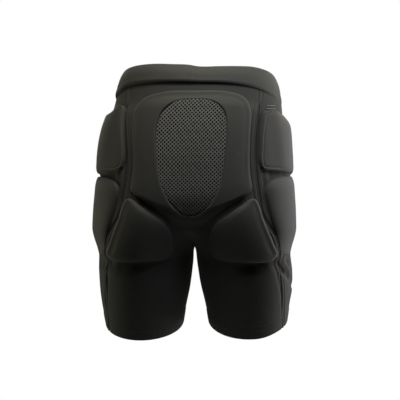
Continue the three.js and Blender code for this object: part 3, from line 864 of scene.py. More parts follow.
def make_waistband():
    """A closed profile round the waist; angle 90 degrees is the centre back."""
    # Share of the height, and how far out: 1 on the outer face, 0 on the inner one
    profile = [(0.0, 0.1)] + [(v, 1.0) for v in np.linspace(0, 1, FACE_ROWS)] + [(1.02, 0.45), (1.0, 0.0)]
    profile += [(v, 0.0) for v in np.linspace(0.92, 0.06, 10)]
    angle = np.linspace(0, 2 * np.pi, BAND_SIDES, endpoint=False)
    rows = []
    for share, out in profile:
        top_round = 1 - 0.55 * (1 - smooth(share, 0.0, 0.07)) if out == 1.0 else 1.0
        foot_round = 1 - 0.5 * smooth(share, 0.95, 1.0) if out == 1.0 else 1.0
        lip = LIP_HEIGHT * hump(share, LIP_AT, LIP_WIDTH) * (out == 1.0)
        ribs = RIB_HEIGHT * np.sin(share * 2 * np.pi * RIBS) * (out == 1.0)
        grow = BAND_PROUD - BAND_LEAN * max(0.0, 1 - share) ** 2.8
        grow -= BAND_WALL * (1 - out * top_round * foot_round)
        base = ring_point(np.zeros_like(angle), angle, grow + lip + ribs)
        x, back = base[:, 0], base[:, 1] < 0
        rise = line_lift(RIM_LINE, x, base[:, 1]) * (1 - share) + line_lift(FOOT_LINE, x, base[:, 1]) * share
        base[:, 2] += rise - share * BAND_HEIGHT
        overlap = 1 - smooth(x, JOIN_ACROSS - 1 * MM, JOIN_ACROSS + 1 * MM)
        overlap = JOIN_HEIGHT * overlap * smooth(x, -45 * MM, -35 * MM)
        base[:, 1] -= overlap * back * (out == 1.0)
        rows.append(base)
    points = np.array(rows)
    count = len(profile)
    faces = grid_faces(count, BAND_SIDES, True)
    last = (count - 1) * BAND_SIDES
    faces += [(last + c, last + (c + 1) % BAND_SIDES, (c + 1) % BAND_SIDES, c) for c in range(BAND_SIDES)]
    around = np.repeat(angle[None] * WAIST_RADIUS, count, axis=0)
    depth = np.repeat(np.array([share * BAND_HEIGHT for share, out in profile])[:, None], BAND_SIDES, axis=1)
    band = make_object("waistband_casing", points, faces, np.stack([around, depth], -1))
    face_outwards(band)
    share = depth / BAND_HEIGHT
    add_mask(band, "wear", hump(share, 0.9, 0.06) * 0.6 + (share < 0.08) * 0.5)
    band.data.materials.append(ELASTIC)
    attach(band, "root")
    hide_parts("waistband")
    return band, points[1:1 + FACE_ROWS]


waistband, band_face = make_waistband()
print("waistband", triangles(waistband), "triangles")

# %% [markdown]
# ## The pads
# There is one large pad over the tailbone, a five-sided pad on each buttock, and two pads on each
# hip. Their outlines are drawn flat, as the pattern of the cover would be, with corners as
# shares of the pad's width and height, so that a pad can be made wider without drawing it anew.

# %% Sizes of the pads, in millimetres
PAD_SEAM, PAD_CROWN = 3, 0.12  # the crown is a share of the rise above the wall
TAILBONE = dict(width=199, height=223, top=46, thickness=10, edge=4.5, shoulder=11)
WINDOW = dict(width=112, height=189, top=61, recess=1.6)
BUTTOCK = dict(width=111, height=104.5, top=220, inner=33, thickness=15, edge=8, shoulder=11)
BUTTOCK_INNER = dict(thickness=7, edge=2.6, shoulder=30)
UPPER_HIP = dict(width=168, height=110, top=67, back=122, thickness=11.5, edge=6, shoulder=13)
LOWER_HIP = dict(width=158, height=132, top=181, back=118, thickness=11.5, edge=4.5, shoulder=24)

TAILBONE_CORNERS = both_sides([
    (0.0, -0.005), (0.55, 0.0), (0.82, 0.04), (0.94, 0.14), (0.96, 0.3), (0.965, 0.6), (1.0, 0.715),
    (0.93, 0.767), (0.48, 0.9), (0.28, 0.97), (0.0, 0.99),
])
WINDOW_CORNERS = both_sides([
    (0.0, 0.0), (0.55, 0.02), (0.9, 0.12), (1.0, 0.27), (0.97, 0.5), (0.82, 0.75), (0.45, 0.94), (0.0, 1.0),
])
BUTTOCK_CORNERS = [
    (0.59, 0.01), (0.43, 0.13), (0.27, 0.26), (0.09, 0.4), (0.0, 0.58), (0.02, 0.86), (0.12, 0.98),
    (0.5, 1.0), (0.87, 0.99), (0.95, 0.9), (0.88, 0.68), (0.755, 0.36), (0.655, 0.06),
]
UPPER_HIP_CORNERS = [
    (0.1, 0.12), (0.3, 0.03), (0.55, 0.0), (0.78, 0.01), (0.84, 0.06), (0.887, 0.2), (0.937, 0.4),
    (0.974, 0.62), (1.0, 0.86), (0.985, 0.945), (0.8, 0.97), (0.5, 0.99), (0.07, 0.985), (0.0, 0.9),
    (0.02, 0.35),
]
LOWER_HIP_CORNERS = [
    (0.06, 0.02), (0.5, 0.0), (0.8, 0.03), (0.95, 0.1), (1.0, 0.2), (0.99, 0.45), (0.955, 0.65),
    (0.89, 0.83), (0.79, 0.97), (0.66, 1.02), (0.42, 1.01), (0.2, 0.93), (0.06, 0.65), (0.0, 0.1),
]

OUTLINE_POINTS = 300


def pad_outline(pad, table, start=0, share=1.0, top_shift=0):
    """The flat outline of a pad that begins at start, in mm; share 0.5 is for a table of half-widths."""
    top, height = pad["top"] + top_shift, pad["height"] - top_shift
    return closed_curve(corners_of(start, pad["width"] * share, top, height, table), OUTLINE_POINTS)


tailbone_outline = pad_outline(TAILBONE, TAILBONE_CORNERS, share=0.5)
window_outline = pad_outline(WINDOW, WINDOW_CORNERS, share=0.5)
buttock_outline = pad_outline(BUTTOCK, BUTTOCK_CORNERS, start=BUTTOCK["inner"])
HIP_PADS = {
    "upper_hip_pad": (UPPER_HIP, UPPER_HIP_CORNERS),
    "lower_hip_pad": (LOWER_HIP, LOWER_HIP_CORNERS),
}
TOP_SHIFT = {1: 6, -1: -5}  # the right upper hip pad begins lower than the left one, in mm


def hip_outline(kind, side):
    """The flat outline of a hip pad on the right (side 1) or left (side -1)."""
    pad, table = HIP_PADS[kind]
    shift = TOP_SHIFT[side] if kind == "upper_hip_pad" else 0
    return pad_outline(pad, table, start=pad["back"] - pad["width"], top_shift=shift)


hip_outlines = {(kind, side): hip_outline(kind, side) for kind in HIP_PADS for side in (1, -1)}
print("outlines of", 3 + len(hip_outlines), "shapes with", OUTLINE_POINTS, "points each")

# %% [markdown]
# ## How a cover rises from its sewn edge
# Each pad is moulded foam in a knit cover, sewn down round its edge. From outside it is a thin
# flange with a stitched furrow, a steep wall, a rounded shoulder and a slightly crowned top. A
# bevel can't make that section, so the height is a function of the distance inside the edge.
# The grid of a pad runs in rings from its edge to its middle, close together over the shoulder,
# so that the shoulder stays round in a close view.

# %% Relief of a pad, from the distance inside its sewn edge
FLANGE, NARROW_FLANGE, FLANGE_LIFT = 2.4 * MM, 0.3 * MM, 0.8 * MM
FURROW_AT, WALL_RUN = 1.1 * MM, 1.4 * MM
SUNK, UNDERSIDE = -1.2 * MM, -1.6 * MM  # the cover's rim and its lower face, below the cloth
RING_OFFSETS = MM * np.array([
    -2.5, -2.4, -1.7, -1.0, -0.4, 0.1, 0.5, 0.9, 1.4, 2.0, 2.7, 3.4, 4.1, 4.8, 5.6, 6.6, 8, 9.6, 11.4, 14, 17,
])
RING_SHARES = np.linspace(0, 1, 15)[1:-1]
UNDER_RINGS = [0, 22, 26, 30]  # rings of the top that are repeated underneath


def pad_height(inside, pad, thin=1.0, low=1.0, flange_width=FLANGE):
    """Height of a cover above the cloth, at a distance inside the sewn edge in metres.

    thin lowers the crown above the wall, low lowers the wall and the crown.
    """
    shoulder = pad["shoulder"] * MM
    edge, rise = pad["edge"] * MM, (pad["thickness"] - pad["edge"]) * MM
    wall = edge * smooth(inside, -0.2 * MM, WALL_RUN)
    turn = np.clip(inside / shoulder, 0, 1)
    round_part = np.sqrt(np.clip(1 - (1 - turn) ** 2, 0, 1))
    crown = PAD_CROWN * smooth(inside, 0.6 * shoulder, 2.6 * shoulder)
    flange = FLANGE_LIFT * smooth(inside, -flange_width - 0.2 * MM, -flange_width + 0.5 * MM)
    furrow = 0.5 * MM * hump(inside, -FURROW_AT, 0.5 * MM)
    sunk = SUNK * (1 - smooth(inside, -flange_width - 0.3 * MM, -flange_width + 0.1 * MM))
    return sunk + np.maximum(flange - furrow, low * (wall + rise * thin * (round_part + crown)))


def pad_rings(outline, centre):
    """Flat grid of a pad: rings parallel to its edge, then rings that close on the centre."""
    inward = centre - outline
    reach = np.linalg.norm(inward, axis=1, keepdims=True)
    direction = inward / reach
    rows = [outline + direction * offset for offset in RING_OFFSETS]
    last = rows[-1]
    rows += [last + (centre - last) * share for share in RING_SHARES]
    return np.array(rows)


def close_pad(top_points, tip, base_points, base_tip, name, pattern, tip_pattern):
    """A closed piece from a top grid, its tip, and a few rings underneath."""
    rows, columns = top_points.shape[:2]
    lower = base_points.shape[0]
    points = np.concatenate([top_points.reshape(-1, 3), [tip], base_points.reshape(-1, 3), [base_tip]])
    faces = grid_faces(rows, columns, True)
    top_last, tip_index, base_start = (rows - 1) * columns, rows * columns, rows * columns + 1
    faces += [(top_last + c, top_last + (c + 1) % columns, tip_index) for c in range(columns)]
    faces += [tuple(base_start + i for i in f) for f in grid_faces(lower, columns, True, flip=True)]
    faces += [((c + 1) % columns, c, base_start + c, base_start + (c + 1) % columns) for c in range(columns)]
    base_last, base_tip_index = base_start + (lower - 1) * columns, base_start + lower * columns
    faces += [(base_last + (c + 1) % columns, base_last + c, base_tip_index) for c in range(columns)]
    under = np.repeat(tip_pattern[None], lower * columns + 1, axis=0)
    whole = np.concatenate([pattern.reshape(-1, 2), [tip_pattern], under])
    obj = make_object(name, points, faces, whole)
    face_outwards(obj)
    return obj


def covered(name, place, side, flat, centre, height, tip_height, under_rings, underside):
    """A closed piece with a height over its flat grid, on the right (side 1) or left (side -1)."""
    under = flat[under_rings]
    top = raised(place, flat[..., 0], flat[..., 1], height)
    tip = raised(place, centre[:1], centre[1:], tip_height)[0]
    base = raised(place, under[..., 0], under[..., 1], np.full(under.shape[:2], underside))
    base_tip = raised(place, centre[:1], centre[1:], np.array([underside]))[0]
    mirror = np.array([side, 1, 1])
    return close_pad(top * mirror, tip * mirror, base * mirror, base_tip * mirror, name, flat, centre)


def make_pad(name, outline, place, side, relief):
    """One pad's cover. relief gives its height and wear at flat points."""
    centre = outline.mean(axis=0)
    flat = pad_rings(outline, centre)
    height, wear = relief(flat, side)
    tip_height = relief(centre[None], side)[0]
    obj = covered(name, place, side, flat, centre, height, tip_height, UNDER_RINGS, UNDERSIDE)
    add_mask(obj, "wear", wear)
    obj.data.materials.append(PAD_COVER)
    return obj


def edge_wear(inside, shoulder):
    """Where a cover is rubbed: at the top of the wall and a little over the shoulder."""
    return hump(inside, 0.35 * shoulder, 0.4 * shoulder)


print("tailbone pad 20 mm inside its edge:", round(float(pad_height(20 * MM, TAILBONE)), 4), "m high")

# %% [markdown]
# ## What differs from pad to pad
# The pads press on each other and on the body. Where two meet, one ends a seam's width before the
# other. The buttock pads are firm outside and soft towards the middle, so they blend two
# profiles. The hip pads are firm along the slit, with a ridge that the press leaves, and the
# lower ones run out to nothing at their lower end.

# %% The relief of each kind of pad
SOFT_TOP = {1: 0.26, -1: 0.1}  # how far down a hip pad's soft top reaches, as a share of its height


def beyond_neighbour(across, down, outline):
    """How far a point of a pad lies outside a neighbour's sewn line."""
    return -distance_inside(np.stack([across, down], -1), outline) - PAD_SEAM * MM


def pressed_edge(inside):
    """The ridge and the furrow inside it where the foam is pressed down along its edge."""
    return 0.8 * MM * hump(inside, 4 * MM, 2.5 * MM) - 1.1 * MM * hump(inside, 10 * MM, 3.5 * MM)


def buttock_relief(flat, side):
    """Height and wear of a buttock pad; both sides are alike."""
    inside = distance_inside(flat, buttock_outline)
    clear = beyond_neighbour(flat[..., 0], flat[..., 1], tailbone_outline)
    inside = np.minimum(inside, clear)
    share = (flat[..., 1] / MM - BUTTOCK["top"]) / BUTTOCK["height"]
    inner = smooth(flat[..., 0] - 22 * MM * share, 34 * MM, 80 * MM)
    tilt = 1 - 0.3 * smooth(share, 0.2, 0.9)
    firm = pad_height(inside, BUTTOCK, thin=tilt)
    soft = pad_height(inside, BUTTOCK_INNER)
    from_slit = (BUTTOCK["inner"] + BUTTOCK["width"] * (0.67 + 0.3 * share)) * MM - flat[..., 0]
    outer = (1 - smooth(from_slit, 8 * MM, 22 * MM)) * (1 - smooth(share, 0.85, 0.97))
    height = soft + (firm - soft) * inner + pressed_edge(inside) * outer
    return height, edge_wear(inside, BUTTOCK["shoulder"] * MM) * inner


def hip_relief(kind, pad):
    """The relief of a hip pad: firm and ridged along the slit, soft round the side of the body."""
    firm = dict(pad, shoulder=5)

    def relief(flat, side):
        """Height and wear at flat points of the pad."""
        inside = distance_inside(flat, hip_outlines[kind, side])
        at = on_side(flat[..., 0], flat[..., 1])
        behind = at[..., 1] < 0
        for outline in (tailbone_outline, buttock_outline):
            clear = beyond_neighbour(at[..., 0], flat[..., 1], outline)
            inside = np.where(behind, np.minimum(inside, clear), inside)
        share = (flat[..., 1] / MM - pad["top"]) / pad["height"]
        by_slit = smooth(flat[..., 0], (pad["back"] - 55) * MM, (pad["back"] - 25) * MM)
        if kind == "upper_hip_pad":
            ramp = (1 - smooth(share, 0.0, SOFT_TOP[side])) * (1 - smooth(flat[..., 0], 35 * MM, 75 * MM))
            soft = pad_height(inside, pad, low=1 - 0.75 * ramp)
            ridge = 0.8 * MM * hump(inside, 2.2 * MM, 1.2 * MM) - MM * hump(inside, 5 * MM, MM)
            by_edge = pad_height(inside, firm, thin=0.55, flange_width=NARROW_FLANGE) + ridge
            height = soft + by_slit * (by_edge - soft)
        else:
            taper = smooth(share, 0.68, 1.05)
            height = pad_height(inside, pad, low=1 - 0.85 * taper)
        return height, edge_wear(inside, pad["shoulder"] * MM)
    return relief


# %% Make the buttock and hip pads
pads = {}
for side, label in ((1, "right"), (-1, "left")):
    name = f"buttock_pad_{label}"
    pads[name] = make_pad(name + "_cover", buttock_outline, on_back, side, buttock_relief)
    for kind, (pad, table) in HIP_PADS.items():
        name, outline = f"{kind}_{label}", hip_outlines[kind, side]
        pads[name] = make_pad(name + "_cover", outline, on_side, side, hip_relief(kind, pad))
for name, obj in pads.items():
    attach(obj, "root")
    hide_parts(name)
    print(name, triangles(obj), "triangles")

# %% [markdown]
# ## The tailbone pad
# The largest pad is a ring of foam round the mesh window. Its lower end narrows between the
# buttock pads and bends inwards, with a crease from each lower corner towards the window. It
# gets a grid between two outlines, its sewn edge and the window's edge.

# %% Tailbone pad
CREASE = ((30, 62, 102), (238, 226, 208))  # across, down in mm
CREASE_STEP, BELOW_CREASE = 4.5 * MM, 5 * MM
ROLL_RADIUS, ROLL_HEIGHT, ROLL_FOOT = 3.5 * MM, 4.6 * MM, 3.2 * MM  # the rounded edge at the window
ANNULUS_SHARES = np.linspace(0, 1, 26)[1:-1]
WINDOW_RINGS = MM * np.array([3.6, 2.4, 1.4, 0.7, 0.2, 0.0])  # distances from the window's edge
WALL_HEIGHTS, UNDER_SHARES = (5, 2, -1.6), (0.33, 0.66, 0.98)


def below_crease(flat):
    """How far a point lies below the crease that runs from each lower corner to the window."""
    return flat[..., 1] - np.interp(np.abs(flat[..., 0]) / MM, *CREASE) * MM


def tailbone_relief(flat):
    """Height of the tailbone pad's cover and its wear."""
    inside = distance_inside(flat, tailbone_outline)
    beside = -distance_inside(flat, window_outline)
    share = (flat[..., 1] / MM - TAILBONE["top"]) / TAILBONE["height"]
    low = 1 - 0.45 * (1 - smooth(share, 0.0, 0.13))
    pressed = 0.6 * pressed_edge(inside) * smooth(inside, 0, 2 * MM) * (1 - smooth(share, 0.55, 0.72))
    height = pad_height(inside, TAILBONE, low=low) + pressed
    rolled = np.sqrt(np.clip(1 - (1 - np.clip(beside / ROLL_RADIUS, 0, 1)) ** 2, 0, 1))
    height = np.minimum(height, TAILBONE["thickness"] * MM - ROLL_FOOT + ROLL_HEIGHT * rolled)
    below = below_crease(flat)
    stepped = CREASE_STEP * smooth(below, -1 * MM, 7 * MM) + BELOW_CREASE * smooth(below, 5 * MM, 40 * MM)
    height = height - np.minimum(stepped, 0.8 * np.maximum(height, 0))
    wear = edge_wear(inside, TAILBONE["shoulder"] * MM) + 0.6 * hump(beside, 0, 3 * MM)
    return height, wear


def make_tailbone():
    """The cover as a closed ring: its top, the wall at the window, and the underside."""
    centre = window_outline.mean(axis=0)
    start = np.arctan2(*(tailbone_outline - centre).T[::-1])
    edge_angle = np.unwrap(np.arctan2(*(window_outline - centre).T[::-1]))
    order = np.argsort(edge_angle)
    matched = np.stack([
        np.interp(start, edge_angle[order], window_outline[order, k], period=2 * np.pi) for k in (0, 1)
    ], -1)
    inward = matched - tailbone_outline
    reach = np.linalg.norm(inward, axis=1, keepdims=True)
    offsets = np.minimum(RING_OFFSETS[:-4], 0.45 * reach.min())
    rows = [tailbone_outline + inward / reach * offset for offset in offsets]
    last = rows[-1]
    inner = [matched - inward / reach * offset for offset in WINDOW_RINGS]
    rows += [last + (inner[0] - last) * share for share in ANNULUS_SHARES]
    rows += inner
    flat = np.array(rows)
    height, wear = tailbone_relief(flat)
    top = raised(on_back, flat[..., 0], flat[..., 1], height)
    walls = [raised(on_back, *matched.T, np.full(len(matched), h * MM)) for h in WALL_HEIGHTS]
    level = np.full(len(matched), UNDERSIDE)
    under = [raised(on_back, *(matched + (tailbone_outline - matched) * s).T, level) for s in UNDER_SHARES]
    points = np.concatenate([top, np.array(walls), np.array(under)])
    rows_in_all, columns = points.shape[:2]
    faces = grid_faces(rows_in_all, columns, True)
    last_row = (rows_in_all - 1) * columns
    faces += [(last_row + c, last_row + (c + 1) % columns, (c + 1) % columns, c) for c in range(columns)]
    pattern = np.concatenate([flat] + [matched[None]] * (len(walls) + len(under)))
    pad = make_object("tailbone_pad_cover", points, faces, pattern)
    face_outwards(pad)
    add_mask(pad, "wear", wear)
    pad.data.materials.append(PAD_COVER)
    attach(pad, "root")
    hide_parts("tailbone_pad")
    return pad


tailbone = make_tailbone()
print("tailbone pad", triangles(tailbone), "triangles")

# %% [markdown]
# ## The mesh window
# The window is an open diamond net over perforated foam: it lets the back breathe. At this
# size a bump map would look printed, because light has to fall through the net. So the net is
# real: zigzag yarns whose points touch and are knotted together, each a thin tube that is cut
# where it leaves the window's outline.

# %% Net yarns
YARN_PITCH, CELL_HEIGHT, YARN = 3.1 * MM, 6.2 * MM, 0.46 * MM
YARN_SIDES, STEPS_IN_A_CELL = 5, 8
ZIGZAG_ROUNDING, KNOT_OVERLAP = 0.97, 1.06
YARN_WIDE, YARN_FLAT, KNOT_SWELL = 1.25, 0.8, 0.45
NET_EDGE_DIP, FOAM_EDGE_DIP, EDGE_DIP_RUN = 1.2 * MM, 1.5 * MM, 3 * MM
NET_LIFT = (TAILBONE["thickness"] - WINDOW["recess"]) * MM
WINDOW_DROP = 7 * MM


def window_drop(down):
    """The window bends inwards with the pad at its lower end."""
    return WINDOW_DROP * smooth(down, 212 * MM, 252 * MM)


def tucked(flat, dip):
    """How far the net or the foam goes down under the pad's edge, near the window's outline."""
    return dip * (1 - smooth(distance_inside(flat, window_outline), 0.0, EDGE_DIP_RUN))


def make_net():
    """Zigzag yarns that meet in knots, cut to the window's outline."""
    bottom = (WINDOW["top"] + WINDOW["height"]) * MM
    downs = np.arange(WINDOW["top"] * MM - CELL_HEIGHT, bottom + CELL_HEIGHT, CELL_HEIGHT / STEPS_IN_A_CELL)
    phase = downs / CELL_HEIGHT * 2 * np.pi
    zigzag = (2 / np.pi) * np.arcsin(ZIGZAG_ROUNDING * np.cos(phase))
    swing = 0.5 * YARN_PITCH * zigzag * KNOT_OVERLAP
    around = np.linspace(0, 2 * np.pi, YARN_SIDES, endpoint=False)[None, :, None]
    points, faces, pattern = [], [], []
    count = 0
    reach = math.ceil(0.5 * WINDOW["width"] * MM / YARN_PITCH)
    for k in range(-reach, reach + 1):
        direction = 1 if k % 2 else -1
        u = k * YARN_PITCH + direction * swing
        line = np.stack([u, downs], -1)
        inside = distance_inside(line, window_outline) > -1.0 * MM
        runs = np.split(np.arange(len(downs)), np.nonzero(np.diff(inside.astype(int)))[0] + 1)
        for run in runs:
            if not inside[run[0]] or len(run) < 3:
                continue
            thick = YARN * (1 + KNOT_SWELL * np.abs(np.cos(phase[run])) ** 6)
            height = NET_LIFT - tucked(line[run], NET_EDGE_DIP) - window_drop(downs[run])
            centre = raised(on_back, u[run], downs[run], height)
            normal = facing(on_back, u[run], downs[run])
            along = np.gradient(centre, axis=0)
            along /= np.linalg.norm(along, axis=1, keepdims=True)
            level = np.cross(along, normal)
            ring = np.cos(around) * level[:, None] * YARN_WIDE + np.sin(around) * normal[:, None] * YARN_FLAT
            tube = centre[:, None] + ring * thick[:, None, None]
            points.append(tube.reshape(-1, 3))
            corners = range(len(run) * YARN_SIDES)
            caps = [tuple(corners[:YARN_SIDES][::-1]), tuple(corners[-YARN_SIDES:])]
            faces += [tuple(count + i for i in f) for f in grid_faces(len(run), YARN_SIDES, True) + caps]
            pattern.append(np.repeat(line[run], YARN_SIDES, axis=0))
            count += len(corners)
    net = make_object("window_net", np.concatenate(points), faces, np.concatenate(pattern))
    face_outwards(net)
    add_mask(net, "wear", np.full(len(net.data.vertices), 0.6))
    return net


net = make_net()
print("net", triangles(net), "triangles")

# %% [markdown]
# ## The foam behind the net
# A dark foam panel lies just under the net, with staggered rows of round holes that let sweat
# out. Boolean cuts would be slow here and leave long thin faces. The holes are pressed into a
# fine grid instead, 3 mm deep, and no more than that shows through the net.

# %% The foam panel behind the net
HOLE_PITCH, HOLE_RADIUS, HOLE_DEPTH = 15 * MM, 3.6 * MM, 3.0 * MM
HOLE_ROW = HOLE_PITCH * 0.87
FOAM_LIFT, FOAM_UNDERSIDE = NET_LIFT - 1.5 * MM, -1.4 * MM
FOAM_SHARES, FOAM_UNDER_RINGS = np.concatenate([[0.0, 0.01], np.linspace(0.03, 0.99, 66)]), [0, 20, 45]


def hole_mask(flat):
    """1 inside the round holes of the foam, which sit in staggered rows."""
    row = np.round(flat[..., 1] / HOLE_ROW)
    shift = np.where(row % 2 == 0, 0.0, 0.5 * HOLE_PITCH)
    column = np.round((flat[..., 0] - shift) / HOLE_PITCH)
    away = np.hypot(flat[..., 0] - shift - column * HOLE_PITCH, flat[..., 1] - row * HOLE_ROW)
    return 1 - smooth(away, HOLE_RADIUS - 0.6 * MM, HOLE_RADIUS + 0.6 * MM)


def make_foam_panel():
    """The foam as one closed piece, with its holes as hollows."""
    centre = window_outline.mean(axis=0)
    flat = np.array([window_outline + (centre - window_outline) * share for share in FOAM_SHARES])
    holes = hole_mask(flat)
    height = FOAM_LIFT - tucked(flat, FOAM_EDGE_DIP) - HOLE_DEPTH * holes - window_drop(flat[..., 1])
    tip_height = FOAM_LIFT - window_drop(centre[1:])
    foam = covered("window_foam", on_back, 1, flat, centre, height, tip_height, FOAM_UNDER_RINGS,
                   FOAM_UNDERSIDE)
    add_mask(foam, "wear", np.zeros(len(foam.data.vertices)))
    return foam


foam = make_foam_panel()
NET_YARN = make_cloth("net_yarn", (0.17, 0.17, 0.167), (0.26, 0.26, 0.255), 0.45, 0.2,
                      (0.5 * MM, 0.4 * MM), 0.05 * MM, specular=0.5)
FOAM = make_cloth("window_foam", (0.016, 0.016, 0.016), (0.03, 0.03, 0.03), 0.9, 0.05,
                  (0.6 * MM, 0.6 * MM), 0.1 * MM, specular=0.2)
net.data.materials.append(NET_YARN)
foam.data.materials.append(FOAM)
for piece in (net, foam):
    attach(piece, "root")
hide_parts("tailbone_mesh")
print("foam panel", triangles(foam), "triangles")

# %% [markdown]
# ## Stitches
# Twin rows of stitches hold the hems and the waistband, and one row runs in the furrow round
# each pad. On the real shorts they are thread pulled into the cloth. A stitch texture would go
# flat at the edges, so each stitch is a short rounded rod that lies in its furrow, and all rods
# of a kind are joined into one mesh.

# %% Stitch helper
STITCH, STITCH_GAP, THREAD_RADIUS = 2.3 * MM, 0.8 * MM, 0.24 * MM
ROD_ENDS = ((-1.0, 0.35), (-0.8, 1.0), (0.8, 1.0), (1.0, 0.35))  # share along, share of the radius
ROD_SIDES = 6


def rods(centres, along, outwards, length=STITCH, radius=THREAD_RADIUS):
    """Points of short rods, one for each centre."""
    across = np.cross(along, outwards)
    turn = np.linspace(0, 2 * np.pi, ROD_SIDES, endpoint=False)
    rim = np.cos(turn)[:, None] * across[:, None] + np.sin(turn)[:, None] * outwards[:, None]
    middles = [centres[:, None] + along[:, None] * at * length / 2 for at, size in ROD_ENDS]
    return np.stack([middle + rim * radius * size for middle, (at, size) in zip(middles, ROD_ENDS)], axis=1)


def unit(vectors):
    """The vectors with length 1."""
    return vectors / np.linalg.norm(vectors, axis=-1, keepdims=True)


def stitched(path, outwards, lift):
    """Rods along a path, with the gaps between them."""
    length = np.concatenate([[0], np.cumsum(np.linalg.norm(np.diff(path, axis=0), axis=1))])
    at = np.arange(STITCH, length[-1] - STITCH / 2, STITCH + STITCH_GAP)

    def read(values, where):
        """The values at places along the path."""
        return np.stack([np.interp(where, length, values[:, k]) for k in range(3)], -1)

    normal = unit(read(outwards, at))
    along = unit(read(path, at + STITCH / 2) - read(path, at - STITCH / 2))
    return rods(read(path, at) + normal * lift, along, normal)


def join_rods(name, groups):
    """One mesh of all rods."""
    points = np.concatenate(groups)
    count, ends = len(points), len(ROD_ENDS)
    one = grid_faces(ends, ROD_SIDES, True)
    one += [tuple(range(ROD_SIDES))[::-1], tuple((ends - 1) * ROD_SIDES + i for i in range(ROD_SIDES))]
    faces = [tuple(k * ends * ROD_SIDES + i for i in face) for k in range(count) for face in one]
    obj = make_object(name, points, faces, points.reshape(-1, 3)[:, [0, 2]])
    face_outwards(obj)
    add_mask(obj, "wear", np.full(len(obj.data.vertices), 0.5))
    obj.data.materials.append(THREAD)
    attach(obj, "root")
    print(name, count, "stitches,", triangles(obj), "triangles")
    return obj


# %% Stitches of the hems and the waistband
HEM_ROWS_OF_STITCHES = (17 * MM, 14.6 * MM)  # above the hem's edge
BAND_ROWS_OF_STITCHES = (28, 30)  # rows of the band's outer face
HEM_STITCH_LIFT, BAND_STITCH_LIFT = 0.35 * MM, 0.15 * MM
cloth_rods = []
for inside_hem in HEM_ROWS_OF_STITCHES:
    down = HEM_DOWN - inside_hem
    row = np.argmin(np.abs(body_downs - down))
    around = np.linspace(ARCS_BODY[row][0], ARCS_BODY[row][-1], 400)
    downs = np.full_like(around, down)
    path, outwards = on_side(around, downs), facing(on_side, around, downs)
    for side in (1, -1):
        cloth_rods.append(stitched(path * (side, 1, 1), outwards * (side, 1, 1), HEM_STITCH_LIFT))
for row in BAND_ROWS_OF_STITCHES:
    path = np.concatenate([band_face[row], band_face[row][:1]])
    outwards = np.gradient(path, axis=0)[:, [1, 0, 2]] * (-1, 1, 0)
    outwards = unit(outwards * np.sign((outwards * path).sum(axis=1, keepdims=True)))
    cloth_rods.append(stitched(path, outwards, BAND_STITCH_LIFT))
cloth_stitches = join_rods("hem_and_band_stitches", cloth_rods)

# %% [markdown]
# ## Stitches round the pads
# The row that holds a pad lies in the furrow of its flange. The outline is moved outwards by the
# furrow's distance and carried onto the body by the same function as the pad, so the stitches
# follow every pad that is changed.

# %% Stitches round the pads
FURROW_STITCH_LIFT = 0.55 * MM


def furrow_path(outline, place):
    """The line of the sewn furrow round a pad, on the body."""
    edge = np.roll(outline, -1, axis=0) - np.roll(outline, 1, axis=0)
    away = unit(edge[:, ::-1] * (1, -1))
    if distance_inside(outline[:1] + away[:1] * 2 * MM, outline)[0] > 0:
        away = -away
    line = outline + away * FURROW_AT
    line = np.concatenate([line, line[:1]])
    return place(line[:, 0], line[:, 1]), facing(place, line[:, 0], line[:, 1])


sewn_pads = [(tailbone_outline, on_back, 1)]
for side in (1, -1):
    sewn_pads.append((buttock_outline, on_back, side))
    sewn_pads += [(hip_outlines[kind, side], on_side, side) for kind in HIP_PADS]
pad_rods = []
for outline, place, side in sewn_pads:
    path, outwards = furrow_path(outline, place)
    pad_rods.append(stitched(path * (side, 1, 1), outwards * (side, 1, 1), FURROW_STITCH_LIFT))
pad_stitches = join_rods("pad_stitches", pad_rods)

# %% [markdown]
# ## Two bar tacks
# A bar tack is a short, very dense zigzag that stops a seam from tearing. Two of them, in paler
# thread, sit above the right upper hip pad. They are the same rods, set upright and side by side.

# %% The two bar tacks on the right hip
BARS = (((80, 65), (55, 62)), ((82, 70.3), (57, 67.8)))  # around, down of both ends in mm
BAR_RODS, BAR_HEIGHT, BAR_LIFT, BAR_ROD_RADIUS = 26, 2.1 * MM, 1.3 * MM, 0.5 * MM
bar_rods = []
for start, end in BARS:
    around, downs = np.linspace(start, end, BAR_RODS).T * MM
    centres = raised(on_side, around, downs, np.full(BAR_RODS, BAR_LIFT))
    upwards = unit(on_side(around, downs - MM) - on_side(around, downs + MM))
    bar_rods.append(rods(centres, upwards, facing(on_side, around, downs), BAR_HEIGHT, BAR_ROD_RADIUS))
bars = join_rods("hip_bar_tacks", bar_rods)
bars.data.materials[0] = PALE_THREAD

# %% [markdown]
# ## A natural stance
# Everything so far is the same on the left and right, but worn shorts never sit that evenly: the
# hips lean one way and the waist the other, and one leg opening is a little higher. It is a small
# smooth shift of every finished piece, far less work than drawing the two halves apart.

# %% Let the shorts lean
STANCE = (  # height, shift towards the right leg opening, in mm
    (-480, 2.4), (-440, 2.2), (-360, 0.9), (-300, -1.0), (-200, -0.5), (-120, 0.2), (-80, 3.0), (-45, 6.0),
    (0, 7.0), (30, 7.0),
)
RIGHT_LEG_UP, OUTER_HEM_UP, LEFT_LEG_DOWN, CROTCH_UP = 1.7 * MM, 4.5 * MM, 1.5 * MM, 12.5 * MM
CROTCH_HALF = 28 * MM
LEFT_SLIDE, SLIDE_AT = 8 * MM, 112 * MM


